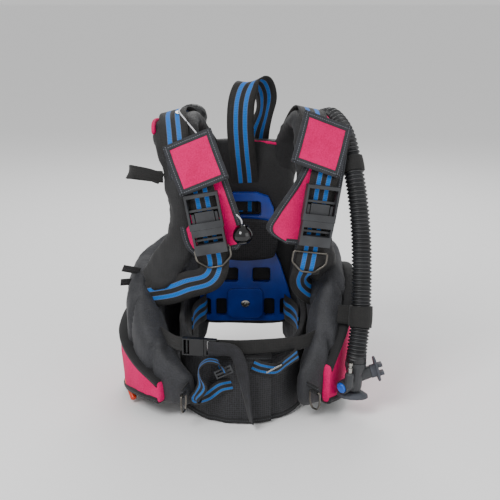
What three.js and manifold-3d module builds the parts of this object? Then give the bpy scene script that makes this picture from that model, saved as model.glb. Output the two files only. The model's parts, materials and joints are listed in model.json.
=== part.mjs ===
// A scuba diver's jacket-style buoyancy compensator, standing upright and empty.
// Millimetres, +Z up. The wearer faces -Y, so the wearer's right side is -X and the left side is +X.
// The finished group is shifted so that its origin is the middle of the base of its bounding box.
import * as THREE from 'three';
import { mergeVertices } from 'three/addons/utils/BufferGeometryUtils.js';
import Module from 'manifold-3d';

const wasm = await Module();
wasm.setup();

// ---------------------------------------------------------------- driving dimensions
const GAP = 0.3; // clearance between pieces that touch
const PRESS = 0.4; // how far a cutter stands outside the piece that it makes room for

const WEB_WIDE = 50; // harness webbing
const WEB_THICK = 2;
const BELT_WIDE = 25; // waist belt webbing
const BELT_THICK = 1.6;

const TANK_RADIUS = 92; // the cylinder that the band is made for
const BACK_Y = 98; // middle of the back cell's thickness
const BACK_DEEP = 22; // half of that thickness
const BACK_HALF = 96; // half of the back cell's width
const BACK_LOW = 106;
const NECK_Z = 462;

const PLATE_FRONT = 62; // the plate's front and rear faces
const PLATE_REAR = BACK_Y - BACK_DEEP - GAP;
const PLATE_LOW = 116;
const PLATE_SHELF = 187; // where the raised lower part starts
const PLATE_MID = 236; // top of the broad part
const PLATE_TOP = 370;
const PLATE_HALF = 94;
const HIP_SLOT = PLATE_HALF - 19; // middle of a hip webbing slot
const HANDLE_HALF = 54;
const BAND_Z = 210; // middle of the tank band

const PAD_LOW = 240;
const PAD_HIGH = 322;
const PAD_HALF = 62;
const PAD_DEEP = 13;

const WING_DEEP = 34; // half of a wing's thickness
const POCKET_DEEP = 8; // half of a pocket's thickness
const BAND_HIGH = 128; // height of the cummerbund
const BAND_DEEP = 4;
const FRONT_Y = -150; // the front of the cummerbund

const HOSE_RADIUS = 18;

const BUCKLE_HALF = 30; // half of a shoulder buckle's width
const BUCKLE_TOP = 54; // above and below the middle of the buckle
const BUCKLE_SPLIT = -9; // where the plug meets the socket
const BUCKLE_FRONT = -8;
const BUCKLE_BACK = 5;
const RING_WIRE = 2; // radius of the wire of a D-ring

// ---------------------------------------------------------------- materials
const material = (color, roughness, metalness = 0) =>
  new THREE.MeshStandardMaterial({ color, roughness, metalness });
const FINISH = {
  shell: material(0x35363a, 0.85),
  pink: material(0xf01060, 0.7),
  mesh: material(0x202225, 0.9),
  webbing: material(0x22242a, 0.8),
  binding: material(0x4a4c52, 0.8),
  plate: material(0x0b3fa8, 0.35),
  black_plastic: material(0x1c1c1e, 0.5),
  grey_plastic: material(0x4b4c50, 0.55),
  grey_rubber: material(0x6a6c74, 0.7),
  hose_rubber: material(0x2b2c30, 0.6),
  blue_button: material(0x1670d8, 0.4),
  steel: material(0xb8b8b4, 0.25, 1),
  orange: material(0xe8501c, 0.5),
  cord: material(0xd8d8dc, 0.6),
};

// ---------------------------------------------------------------- helpers for shape
const degrees = THREE.MathUtils.degToRad;
const at = (x, y, z) => new THREE.Vector3(x, y, z);
const X = at(1, 0, 0);
const Y = at(0, 1, 0);
const Z = at(0, 0, 1);

/** A closed surface over rings of points. Open rows of rings end in flat fans. */
function skin(rings, closed = false) {
  const sides = rings[0].length;
  const index = [];
  const rows = closed ? rings.length : rings.length - 1;
  for (let r = 0; r < rows; r++)
    for (let s = 0; s < sides; s++) {
      const next = (s + 1) % sides;
      const [a, b] = [r * sides + s, r * sides + next];
      const up = ((r + 1) % rings.length) * sides;
      index.push(a, b, up + next, a, up + next, up + s);
    }
  if (!closed)
    for (let s = 1; s + 1 < sides; s++) {
      const last = (rings.length - 1) * sides;
      index.push(0, s + 1, s, last, last + s, last + s + 1);
    }
  const geometry = new THREE.BufferGeometry().setFromPoints(rings.flat());
  geometry.setIndex(index);
  return facingOut(geometry);
}

/** Turns every face round if the surface is inside out. */
function facingOut(geometry) {
  const p = geometry.attributes.position;
  const i = geometry.index.array;
  const corner = (k) => new THREE.Vector3().fromBufferAttribute(p, i[k]);
  let volume = 0;
  for (let k = 0; k < i.length; k += 3) volume += corner(k).dot(corner(k + 1).cross(corner(k + 2)));
  if (volume < 0) for (let k = 0; k < i.length; k += 3) [i[k + 1], i[k + 2]] = [i[k + 2], i[k + 1]];
  return geometry;
}

/**
 * Evenly spaced stops along a smooth route. Each point is [x, y, z, across, wide, deep]: the place,
 * the direction of the section's width, and half of its width and of its depth.
 */
function route(points, steps, closed = false) {
  const curve = (list) => new THREE.CatmullRomCurve3(list, closed, 'catmullrom', 0.5);
  const place = curve(points.map((p) => at(p[0], p[1], p[2])));
  const across = curve(points.map((p) => p[3].clone()));
  const size = curve(points.map((p) => at(p[4], p[5], 0)));
  return Array.from({ length: closed ? steps : steps + 1 }, (_, k) => {
    const t = k / steps;
    const s = size.getPoint(t);
    return { at: place.getPoint(t), along: place.getTangent(t), across: across.getPoint(t), wide: s.x,
      deep: s.y };
  });
}

/** Rounds both ends of a row of stops off over the length given. */
function rounded(stops, length) {
  const bend = [12, 40, 66].map((a) => (a * Math.PI) / 180);
  const end = (stop, way) =>
    bend.map((a) => ({
      ...stop,
      at: stop.at.clone().addScaledVector(stop.along, way * length * Math.cos(a)),
      wide: stop.wide * Math.sin(a),
      deep: stop.deep * Math.sin(a),
    }));
  const first = stops[0];
  const last = stops[stops.length - 1];
  return [...end(first, -1), ...stops, ...end(last, 1).reverse()];
}

/** The same stops, their sections square to the route seen along the axis given (0 is X, 2 is Z). */
const squared = (stops, axis) =>
  stops.map((s) => ({ ...s, along: s.along.clone().setComponent(axis, 0).normalize() }));
const upright = (stops) => squared(stops, 2);

const RECTANGLE = [
  [-1, -1],
  [1, -1],
  [1, 1],
  [-1, 1],
];

/** A superellipse of that many sides with flats at its ends: 2 is round, and a higher power is squarer. */
function oval(sides, power = 2) {
  const bulge = (v) => Math.sign(v) * Math.abs(v) ** (2 / power);
  const reach = bulge(Math.cos(Math.PI / sides));
  return Array.from({ length: sides }, (_, k) => {
    const a = (2 * Math.PI * (k + 0.5)) / sides;
    return [bulge(Math.cos(a)) / reach, bulge(Math.sin(a)) / reach];
  });
}

/** Carries a section along stops. grow makes it that much larger all round, to cut room for it. */
function sweep(stops, section, { closed = false, grow = 0 } = {}) {
  const last = stops.length - 1;
  const rings = stops.map((s, k) => {
    const along = s.along.clone().normalize();
    const stretch = closed ? 0 : grow * ((k === last ? 1 : 0) - (k === 0 ? 1 : 0));
    const across = s.across.clone().addScaledVector(along, -along.dot(s.across)).normalize();
    const out = new THREE.Vector3().crossVectors(across, along);
    return section.map(([a, b]) =>
      s.at
        .clone()
        .addScaledVector(along, stretch)
        .addScaledVector(across, a * (s.wide + grow))
        .addScaledVector(out, b * (s.deep + grow)),
    );
  });
  return skin(rings, closed);
}

/** A tube or bar along points: its section is a regular polygon. */
function wire(points, radius, { sides = 8, steps = points.length * 2, closed = false, across = Z,
  grow = 0 } = {}) {
  const stops = route(points.map((p) => [...p, across, radius, radius]), steps, closed);
  return sweep(stops, oval(sides), { closed, grow });
}

/** A closed loop of wire through corners, each rounded to the radius given. */
function wireLoop(corners, radius, round, across) {
  const points = corners.flatMap((c, k) => {
    const here = at(...c);
    const before = at(...corners[(k + corners.length - 1) % corners.length]).sub(here).setLength(round);
    const after = at(...corners[(k + 1) % corners.length]).sub(here).setLength(round);
    const start = here.clone().add(before);
    const end = here.clone().add(after);
    const middle = here.clone().multiplyScalar(2).add(start).add(end).multiplyScalar(0.25);
    return [start, middle, end];
  });
  const stops = points.map((p, k) => {
    const next = points[(k + 1) % points.length];
    const last = points[(k + points.length - 1) % points.length];
    return { at: p, along: next.clone().sub(last).normalize(), across, wide: radius, deep: radius };
  });
  return sweep(stops, oval(8), { closed: true });
}

/** A box between two corners. */
function box(low, high) {
  const size = high.map((v, k) => v - low[k]);
  return new THREE.BoxGeometry(...size).translate(...low.map((v, k) => v + size[k] / 2));
}

/** A solid of revolution about +Z from [radius, height] pairs, which start and end on the axis. */
const turned = (profile, sides = 20) =>
  new THREE.LatheGeometry(profile.map(([r, h]) => new THREE.Vector2(r, h)), sides).rotateX(Math.PI / 2);

/** Turns a shape made along +Z to lie along a direction, and moves its origin to a place. */
function aim(geometry, direction, place) {
  const turn = new THREE.Quaternion().setFromUnitVectors(Z, direction.clone().normalize());
  return geometry.applyQuaternion(turn).translate(place.x, place.y, place.z);
}

/** A flat outline in X and Z, thickened from y = front to y = rear. */
function slab(shape, front, rear, curveSegments = 6) {
  const flat = new THREE.ExtrudeGeometry(shape, { depth: rear - front, bevelEnabled: false, curveSegments });
  return flat.rotateX(Math.PI / 2).translate(0, rear, 0);
}

/** A rectangle with round corners, as a Shape or a hole. */
function roundedRectangle(left, low, right, high, radius, Kind = THREE.Shape) {
  const s = new Kind();
  s.moveTo(left + radius, low);
  s.lineTo(right - radius, low);
  s.absarc(right - radius, low + radius, radius, -Math.PI / 2, 0);
  s.lineTo(right, high - radius);
  s.absarc(right - radius, high - radius, radius, 0, Math.PI / 2);
  s.lineTo(left + radius, high);
  s.absarc(left + radius, high - radius, radius, Math.PI / 2, Math.PI);
  s.lineTo(left, low + radius);
  s.absarc(left + radius, low + radius, radius, Math.PI, 1.5 * Math.PI);
  return s;
}

// ---------------------------------------------------------------- helpers for joining and cutting
/** A geometry as a manifold-3d solid. */
function solid(geometry) {
  const bare = geometry.clone();
  bare.deleteAttribute('normal');
  bare.deleteAttribute('uv');
  const merged = mergeVertices(bare, 1e-4);
  return new wasm.Manifold(
    new wasm.Mesh({
      numProp: 3,
      vertProperties: new Float32Array(merged.attributes.position.array),
      triVerts: new Uint32Array(merged.index.array),
    }),
  );
}

/** A manifold-3d solid back as a geometry. */
function shapeOf(made) {
  const mesh = made.getMesh();
  const geometry = new THREE.BufferGeometry();
  const points = new Float32Array(mesh.numVert * 3);
  for (let k = 0; k < mesh.numVert; k++)
    points.set(mesh.vertProperties.subarray(k * mesh.numProp, k * mesh.numProp + 3), k * 3);
  geometry.setAttribute('position', new THREE.BufferAttribute(points, 3));
  geometry.setIndex(new THREE.BufferAttribute(mesh.triVerts, 1));
  geometry.computeVertexNormals();
  return geometry;
}

const join = (...shapes) => shapeOf(shapes.map(solid).reduce((a, b) => a.add(b)));

/** The shape less the others. What is left is one piece: offcuts fall away. */
function cut(shape, ...others) {
  const left = others.map(solid).reduce((a, b) => a.subtract(b), solid(shape));
  const parts = left.decompose().sort((a, b) => b.volume() - a.volume());
  return shapeOf(parts[0]);
}

// ---------------------------------------------------------------- the vest
const vest = new THREE.Group();

/** Adds a named sub-part to the vest or to a group in it. */
function add(name, geometry, finish, parent = vest) {
  const mesh = new THREE.Mesh(geometry, finish);
  mesh.name = name;
  parent.add(mesh);
  return mesh;
}

/** A sub-part's shape in the vest's frame, to cut a neighbour with. */
function inPlace(geometry, group) {
  group.updateMatrixWorld(true);
  return geometry.clone().applyMatrix4(group.matrixWorld);
}

// ---------------------------------------------------------------- backpack plate, pad and tank band
const plateOutline = () => {
  const s = new THREE.Shape();
  s.moveTo(-PLATE_HALF + 26, PLATE_LOW);
  s.lineTo(PLATE_HALF - 26, PLATE_LOW);
  s.quadraticCurveTo(PLATE_HALF - 4, PLATE_LOW, PLATE_HALF, PLATE_LOW + 26);
  s.lineTo(PLATE_HALF - 12, PLATE_SHELF);
  s.lineTo(HANDLE_HALF + 12, PLATE_MID);
  s.lineTo(HANDLE_HALF, PLATE_MID + 24);
  s.lineTo(HANDLE_HALF, PLATE_TOP - 30);
  s.quadraticCurveTo(HANDLE_HALF - 4, PLATE_TOP, HANDLE_HALF - 32, PLATE_TOP);
  s.lineTo(32 - HANDLE_HALF, PLATE_TOP);
  s.quadraticCurveTo(4 - HANDLE_HALF, PLATE_TOP, -HANDLE_HALF, PLATE_TOP - 30);
  s.lineTo(-HANDLE_HALF, PLATE_MID + 24);
  s.lineTo(-HANDLE_HALF - 12, PLATE_MID);
  s.lineTo(-PLATE_HALF + 12, PLATE_SHELF);
  s.lineTo(-PLATE_HALF, PLATE_LOW + 26);
  s.quadraticCurveTo(-PLATE_HALF + 4, PLATE_LOW, -PLATE_HALF + 26, PLATE_LOW);
  const hole = (...sides) => s.holes.push(roundedRectangle(...sides, 5, THREE.Path));
  for (const side of [-1, 1]) {
    const [near, far] = side < 0 ? [-48, -14] : [14, 48];
    hole(near, BAND_Z - 15, far, BAND_Z + 14); // windows over the tank band
    const [low, high] = side < 0 ? [-57, -36] : [36, 57];
    hole(low, PLATE_LOW + 10, high, PLATE_LOW + 46); // lightening windows
    const [first, last] = side < 0 ? [-HIP_SLOT - 8, -HIP_SLOT + 8] : [HIP_SLOT - 8, HIP_SLOT + 8];
    hole(first, PLATE_LOW + 12, last, PLATE_LOW + 46); // slots for the hip webbing
  }
  hole(-30, PLATE_TOP - 44, 30, PLATE_TOP - 16); // hand hole
  hole(-30, PAD_LOW + 14, 30, PLATE_TOP - 56); // behind the pad
  return s;
};
const SCREW_AT = at(0, PLATE_FRONT, PLATE_LOW + 36);
const lowerBulge = slab(roundedRectangle(-34, PLATE_LOW + 8, 34, PLATE_SHELF - 4, 12), PLATE_FRONT - 7,
  PLATE_FRONT + 2, 3);
const screwSeat = aim(turned([[0, 0], [8, 0], [8, 6], [0, 6]], 16), Y.clone().negate(), SCREW_AT);
add('backpack_plate', cut(join(slab(plateOutline(), PLATE_FRONT, PLATE_REAR, 2), lowerBulge),
  screwSeat.translate(0, -3, 0)), FINISH.plate);

const screwHead = turned([[0, GAP], [7, GAP], [7, 3], [5, 5], [0, 5.5]], 16);
add('plate_screw', aim(screwHead, Y.clone().negate(), SCREW_AT.clone().add(at(0, -3, 0))), FINISH.steel);

const padStops = route(
  [
    [0, PLATE_FRONT - PAD_DEEP / 2 - GAP, PAD_LOW + 10, X, PAD_HALF - 6, PAD_DEEP / 2],
    [0, PLATE_FRONT - PAD_DEEP / 2 - GAP, (PAD_LOW + PAD_HIGH) / 2, X, PAD_HALF, PAD_DEEP / 2],
    [0, PLATE_FRONT - PAD_DEEP / 2 - GAP, PAD_HIGH - 10, X, PAD_HALF - 10, PAD_DEEP / 2],
  ],
  4,
);
add('back_pad', sweep(rounded(padStops, 10), oval(12, 5)), FINISH.mesh);

const BAND_FRONT = PLATE_REAR + WEB_THICK / 2 + GAP + 3;
const bandEye = BACK_Y + BACK_DEEP + TANK_RADIUS + 2; // middle of the cylinder that the band goes round
const bandPoints = (() => {
  const ring = TANK_RADIUS + WEB_THICK;
  const half = [
    [0, BAND_FRONT],
    [45, BAND_FRONT],
    [72, BAND_FRONT + 5],
    [82, BACK_Y + 10],
    [88, BACK_Y + BACK_DEEP + 22],
  ];
  const arc = [0, 30, 60].map((a) => [ring * Math.cos((a * Math.PI) / 180),
    bandEye + ring * Math.sin((a * Math.PI) / 180)]);
  const right = [...half, ...arc];
  const left = right.slice(1).map(([x, y]) => [-x, y]).reverse();
  return [...right, [0, bandEye + ring], ...left].map(([x, y]) => [x, y, BAND_Z, Z, WEB_WIDE / 2 - 3,
    WEB_THICK / 2]);
})();
const bandStops = route(bandPoints, 48, true);
add('tank_band', sweep(bandStops, RECTANGLE, { closed: true }), FINISH.webbing);
const bandRoom = sweep(bandStops, RECTANGLE, { closed: true, grow: PRESS });

// Cam buckle on the far side of the band.
const CAM_Y = bandEye + TANK_RADIUS + 1.5 * WEB_THICK + GAP;
const camFrame = join(
  box([-38, CAM_Y, BAND_Z - 29], [38, CAM_Y + 3, BAND_Z + 29]),
  box([-38, CAM_Y, BAND_Z - 29], [-12, CAM_Y + 14, BAND_Z - 26]),
  box([-38, CAM_Y, BAND_Z + 26], [-12, CAM_Y + 14, BAND_Z + 29]),
);
const CAM_PIN = at(-25, CAM_Y + 9, BAND_Z);
const pinAlong = (radius, half) => new THREE.CylinderGeometry(radius, radius, 2 * half,
  12).rotateX(Math.PI / 2);
const pinHole = pinAlong(2.2, 40).translate(CAM_PIN.x, CAM_PIN.y, CAM_PIN.z);
add('cam_buckle_frame', cut(camFrame, pinHole), FINISH.black_plastic);
add('cam_buckle_pin', pinAlong(2, 29).translate(CAM_PIN.x, CAM_PIN.y, CAM_PIN.z), FINISH.steel);
const leverBlade = box([CAM_PIN.x - 4, CAM_Y + 5.5, BAND_Z - 25], [CAM_PIN.x + 72, CAM_Y + 11, BAND_Z + 25]);
const leverBoss = pinAlong(5, 25).translate(CAM_PIN.x, CAM_PIN.y, CAM_PIN.z);
const leverSlot = box([CAM_PIN.x + 14, CAM_Y, BAND_Z - 18], [CAM_PIN.x + 30, CAM_Y + 20, BAND_Z + 18]);
add('cam_buckle_lever', cut(join(leverBlade, leverBoss), pinHole, leverSlot), FINISH.black_plastic);

// The loop of webbing that steadies the cylinder's valve, from the plate's hand hole over the neck to the
// rear.
const loopPoints = [
  [0, PLATE_REAR + 2, PLATE_TOP - 40, X],
  [0, PLATE_REAR + 2, PLATE_TOP - 8, X],
  [0, PLATE_REAR + 2, PLATE_TOP + 14, X],
  [-2, PLATE_REAR - 4, 410, X],
  [-6, PLATE_REAR - 14, 450, X],
  [-9, PLATE_REAR - 14, 500, X],
  [-6, PLATE_REAR - 6, 544, at(0.98, -0.1, 0.2)],
  [6, PLATE_REAR + 6, 572, at(0.95, -0.1, 0.3)],
  [26, PLATE_REAR + 22, 574, at(0.95, -0.2, 0.2)],
  [38, PLATE_REAR + 36, 550, at(0.85, -0.5, -0.1)],
  [36, PLATE_REAR + 44, 514, at(0.6, -0.8, -0.1)],
  [24, PLATE_REAR + 49, 474, at(0.85, -0.5, 0)],
  [16, PLATE_REAR + 52, 430, X],
].map((p) => [...p, WEB_WIDE / 2, WEB_THICK / 2]);
const loopStops = route(loopPoints, 30);
add('tank_loop', sweep(loopStops, RECTANGLE), FINISH.webbing);
const loopRoom = sweep(loopStops, RECTANGLE, { grow: PRESS });

// ---------------------------------------------------------------- air cells
const backPoints = [
  [0, BACK_Y, BACK_LOW, X, BACK_HALF - 14, BACK_DEEP - 4],
  [0, BACK_Y, BACK_LOW + 40, X, BACK_HALF, BACK_DEEP],
  [0, BACK_Y, 250, X, BACK_HALF + 2, BACK_DEEP],
  [0, BACK_Y, 350, X, BACK_HALF, BACK_DEEP],
  [0, BACK_Y, 420, X, BACK_HALF - 8, BACK_DEEP - 1],
  [0, BACK_Y + 2, NECK_Z, X, BACK_HALF - 26, BACK_DEEP - 6],
];
const backStops = rounded(route(backPoints, 7), 6);
const backSection = oval(12, 5);
const backRoom = sweep(backStops, backSection, { grow: PRESS });
add('back_cell', cut(sweep(backStops, backSection), bandRoom, loopRoom), FINISH.shell);

/** The wings wrap round the wearer's sides from the back cell to the front. */
const WINGS = {
  right: {
    side: -1,
    // x and y of the middle of the thickness, the lowest and highest edge, and half of the thickness
    path: [
      [-78, 98, 60, 300, 16],
      [-140, 88, 10, 290, 28],
      [-178, 52, 0, 264, WING_DEEP],
      [-188, 6, 0, 246, WING_DEEP],
      [-181, -38, 8, 216, WING_DEEP],
      [-160, -82, 16, 170, 32],
      [-130, -116, 20, 128, 27],
      [-96, -140, 24, 92, 17],
    ],
  },
  left: {
    side: 1,
    path: [
      [78, 98, 60, 304, 16],
      [118, 86, 10, 300, 26],
      [142, 52, 0, 292, WING_DEEP],
      [149, 8, 0, 284, WING_DEEP],
      [149, -36, 6, 256, WING_DEEP],
      [140, -78, 12, 204, 31],
      [122, -112, 18, 150, 26],
      [99, -138, 22, 104, 17],
    ],
  },
};
const WING_LEAN = 0.06; // outwards, from the bottom to the top
const WING_STEPS = 11;
const wingSection = oval(12, 2.6);
const wingStops = ({ path, side }) =>
  rounded(upright(route(path.map(([x, y, low, high, deep]) =>
    [x, y, (low + high) / 2, at(side * WING_LEAN, 0, 1), (high - low) / 2, deep]), WING_STEPS)), 6);

/** The same path, moved sideways in plan: positive is outwards. */
function shifted(path, side, distance) {
  const curve = new THREE.CatmullRomCurve3(path.map(([x, y]) => at(x, y, 0)));
  return path.map(([x, y, ...rest], k) => {
    const along = curve.getTangent(k / (path.length - 1));
    return [x - side * distance * along.y, y + side * distance * along.x, ...rest];
  });
}

const shoulderPath = {
  right: [
    [-66, 96, 392, X, 34, 17],
    [-82, 92, 446, X, 38, 20],
    [-106, 64, 494, at(0.98, 0, 0.2), 40, 22],
    [-122, 18, 507, at(0.97, 0, 0.26), 44, 22],
    [-120, -24, 486, at(0.96, 0, 0.24), 44, 22],
    [-114, -48, 430, at(0.97, -0.06, 0.2), 38, 22],
    [-106, -52, 360, at(0.98, -0.1, 0.1), 33, 22],
    [-116, -44, 300, at(0.9, -0.3, 0.1), 36, 24],
    [-140, -30, 252, at(0.8, -0.5, 0.2), 38, 26],
    [-166, -14, 216, at(0.7, -0.6, 0.3), 34, 24],
  ],
  left: [
    [66, 96, 392, X, 34, 17],
    [82, 92, 446, X, 34, 20],
    [102, 62, 496, at(0.98, 0, -0.14), 34, 22],
    [114, 18, 510, at(0.97, 0, -0.2), 34, 22],
    [118, -24, 488, at(0.97, 0.1, -0.16), 36, 22],
    [120, -46, 430, at(0.94, 0.25, -0.1), 38, 22],
    [120, -50, 362, at(0.94, 0.25, 0), 40, 22],
    [124, -42, 308, at(0.9, 0.4, 0), 40, 24],
    [132, -24, 266, at(0.85, 0.5, 0), 38, 26],
    [142, -10, 240, at(0.8, 0.5, 0), 32, 24],
  ],
};
const shoulderSection = oval(10, 2.6);

// ---------------------------------------------------------------- shoulder straps, one group a side
const STRAPS = {
  // inner and outer: how far the lapel reaches to each side of the strap's middle, at each of its rows;
  // drop: how far the ring hangs down; flap: where the flap's middle is, from the buckle's
  right: { side: -1, middle: at(-67, -88, 347), lean: -10.5, turn: -4, inner: [44, 60, 58, 50, 42, 34],
    outer: [34, 46, 49, 50, 50, 49], drop: 0,
    flap: [0, 106] },
  left: { side: 1, middle: at(128, -86, 360), lean: 9, turn: 12, inner: [46, 82, 74, 46, 28, 22],
    outer: [26, 34, 36, 37, 38, 38], drop: 22,
    flap: [-10, 122] },
};
const LAPEL_ROWS = [-58, -38, -8, 50, 100, 140]; // heights from the middle of the buckle

// Layers behind the buckle, in the strap's own frame: +Y is towards the wearer.
const RING_Y = BUCKLE_BACK + RING_WIRE + 0.5;
const LOWER_WEB_Y = RING_Y + RING_WIRE + 0.5 + WEB_THICK / 2;
const UPPER_WEB_Y = BUCKLE_BACK + GAP + WEB_THICK / 2;
const LAPEL_DEEP = 4; // half of the lapel's thickness
const LAPEL_Y = LOWER_WEB_Y + WEB_THICK / 2 + LAPEL_DEEP + 4 * GAP;
/** How far back the lapel's front face is at a height: it bends away over the shoulder and at its foot. */
const lapelFront = (z) => LAPEL_Y - LAPEL_DEEP + 16 * (Math.max(0, z - 50) / 90) ** 2 + Math.max(0,
  -38 - z) / 8;

/** The socket half: the upper frame that the shoulder webbing is threaded through. */
function buckleSocket() {
  const rails = 4;
  const frame = box([-BUCKLE_HALF, BUCKLE_FRONT, BUCKLE_SPLIT], [BUCKLE_HALF, BUCKLE_BACK, BUCKLE_TOP]);
  const window = box([-BUCKLE_HALF + rails, -30, 3], [BUCKLE_HALF - rails, 30, BUCKLE_TOP - 6]);
  const bar = box([-BUCKLE_HALF + 1, -2, 23], [BUCKLE_HALF - 1, 2, 27]);
  const throat = box([-BUCKLE_HALF + rails, -3.5, BUCKLE_SPLIT - 1], [BUCKLE_HALF - rails, 2.5, 4]);
  const hollow = cut(frame, window, throat);
  return join(hollow, bar);
}

/** The plug half: the lower frame, with a tongue and two prongs that slide up into the socket. */
function bucklePlug() {
  const half = BUCKLE_HALF - 1.5;
  const rails = 4;
  const frame = box([-half, BUCKLE_FRONT, -BUCKLE_TOP], [half, BUCKLE_BACK, BUCKLE_SPLIT - GAP]);
  const window = box([-half + rails, -30, -36], [half - rails, 30, -21]);
  const bar = box([-half + 1, -2, -30], [half - 1, 2, -26]);
  const tongue = box([-17, -3, BUCKLE_SPLIT - 2], [17, 2, 21]);
  const prong = (side) => box([side * 21 - 2.5, -3, BUCKLE_SPLIT - 2], [side * 21 + 2.5, 2, 19]);
  return join(cut(frame, window), bar, tongue, prong(-1), prong(1));
}

/** An angled D-ring that hangs behind the plug, from the height given. */
const RING_TOP = -BUCKLE_TOP + 8;
const RING_SIDE = BUCKLE_HALF - 1.5 + RING_WIRE + GAP + 0.4;
function bentRing(top) {
  const corner = [
    [-RING_SIDE, top],
    [-RING_SIDE, top - 20],
    [-12, top - 36],
    [12, top - 36],
    [RING_SIDE, top - 20],
    [RING_SIDE, top],
  ];
  return wireLoop(corner.map(([x, z]) => [x, RING_Y, z]), RING_WIRE, 5, Y);
}

/** The stiff bound panel behind the webbing, bent back over the shoulder at its top. */
const lapelStops = ({ inner, outer, side }) =>
  squared(route(
    LAPEL_ROWS.map((z, k) =>
      [(-side * (inner[k] - outer[k])) / 2, lapelFront(z) + LAPEL_DEEP, z, X, (inner[k] + outer[k]) / 2,
        LAPEL_DEEP]),
    9,
  ), 0);

const FLAP_HALF = 45;
const FLAP_LEAN = 12; // degrees past the strap's own lean
/** The flap is sewn along its top and hides the dump cord and the webbing above the buckle. */
function flapStops({ side, flap: [aside, middle] }) {
  const lean = degrees(side * FLAP_LEAN);
  const across = at(Math.cos(lean), 0, -Math.sin(lean));
  const up = at(Math.sin(lean), 0, Math.cos(lean));
  const rows = [
    // height from the flap's middle, and how far it stands in front of the lapel
    [-44, 12],
    [-6, 8],
    [24, 5.5],
    [44, 4.6],
  ];
  return route(
    rows.map(([rise, stand]) => {
      const p = at(aside, 0, middle).addScaledVector(up, rise);
      return [p.x, lapelFront(p.z) - stand, p.z, across, FLAP_HALF, 1.2];
    }),
    5,
  );
}

/** The harness webbing above the buckle. */
const upperWebStops = (side) =>
  route(
    [
      [0, UPPER_WEB_Y, 6],
      [0, UPPER_WEB_Y, 50],
      [side * 5, lapelFront(84) - 0.8, 84],
      [side * 12, lapelFront(112) - 0.8, 112],
      [side * 20, lapelFront(138) - 0.8, 138],
    ].map((p) => [...p, X, WEB_WIDE / 2, WEB_THICK / 2]),
    7,
  );

// The dump cord runs over the right shoulder and down a sleeve inside the right lapel.
const CORD_RADIUS = 1.25;
const GROMMET_AT = at(-117, -4, 529);
const GROMMET_UP = at(0.05, -0.3, 1).normalize();
const KNOB_AT = at(-4, -97, 330);
const KNOB_PULL = at(0.1, -0.35, -0.93).normalize();
const KNOB_HALF = 18;
const VALVE_AT = at(-98, 84, 508);
const VALVE_UP = at(-0.05, 0.8, 0.6).normalize();

const straps = {};
for (const [name, strap] of Object.entries(STRAPS)) {
  const group = new THREE.Group();
  group.position.copy(strap.middle);
  group.rotation.set(0, degrees(strap.lean), degrees(strap.turn), 'ZYX');
  vest.add(group);
  group.updateMatrixWorld(true);
  const point = (x, y, z) => group.localToWorld(at(x, y, z));
  const heading = (x, y, z) => at(x, y, z).applyQuaternion(group.quaternion);
  straps[name] = { ...strap, group, point, heading };
}

const cordPoints = (() => {
  const { point } = straps.right;
  const start = VALVE_AT.clone().addScaledVector(VALVE_UP, 6);
  return [
    start,
    start.clone().add(at(-4, -22, 18)),
    GROMMET_AT.clone().add(at(4, 32, 4)),
    GROMMET_AT.clone().addScaledVector(GROMMET_UP, 3),
    GROMMET_AT.clone().add(at(12, -24, -9)),
    point(22, lapelFront(132) + 0.5, 132),
    point(34, lapelFront(108) + 0.5, 108),
    point(40, LAPEL_Y, 84),
    point(44, LAPEL_Y, 40),
    point(50, LAPEL_Y - 1, 10),
    KNOB_AT.clone().addScaledVector(KNOB_PULL, -KNOB_HALF - 7),
    KNOB_AT.clone().addScaledVector(KNOB_PULL, -KNOB_HALF + 3),
  ].map((p) => p.toArray());
})();
const dumpCord = (grow = 0) => wire(cordPoints, CORD_RADIUS + grow, { sides: 6, steps: 34, across: X });

for (const [name, strap] of Object.entries(straps)) {
  const { side, group } = strap;
  const lapel = lapelStops(strap);
  const section = oval(10, 6);
  const upper = upperWebStops(side);
  const inVest = (shape) => shape.applyMatrix4(group.matrixWorld);
  strap.lapelRoom = inVest(sweep(lapel, section, { grow: PRESS }));
  const cutters = [inVest(sweep(upper, RECTANGLE, { grow: PRESS }))];
  if (side < 0) cutters.push(dumpCord(PRESS));
  strap.lapelShape = cut(inVest(sweep(lapel, section)), ...cutters);
  strap.flapShape = inVest(sweep(flapStops(strap), RECTANGLE));
  strap.webShape = inVest(sweep(upper, RECTANGLE));
  strap.webRoom = inVest(sweep(upper, RECTANGLE, { grow: PRESS }));
  add(`${name}_buckle_socket`, buckleSocket(), FINISH.grey_plastic, group);
  add(`${name}_buckle_plug`, bucklePlug(), FINISH.grey_plastic, group);
  add(`${name}_shoulder_ring`, bentRing(RING_TOP - strap.drop), FINISH.steel, group);
}

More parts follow.
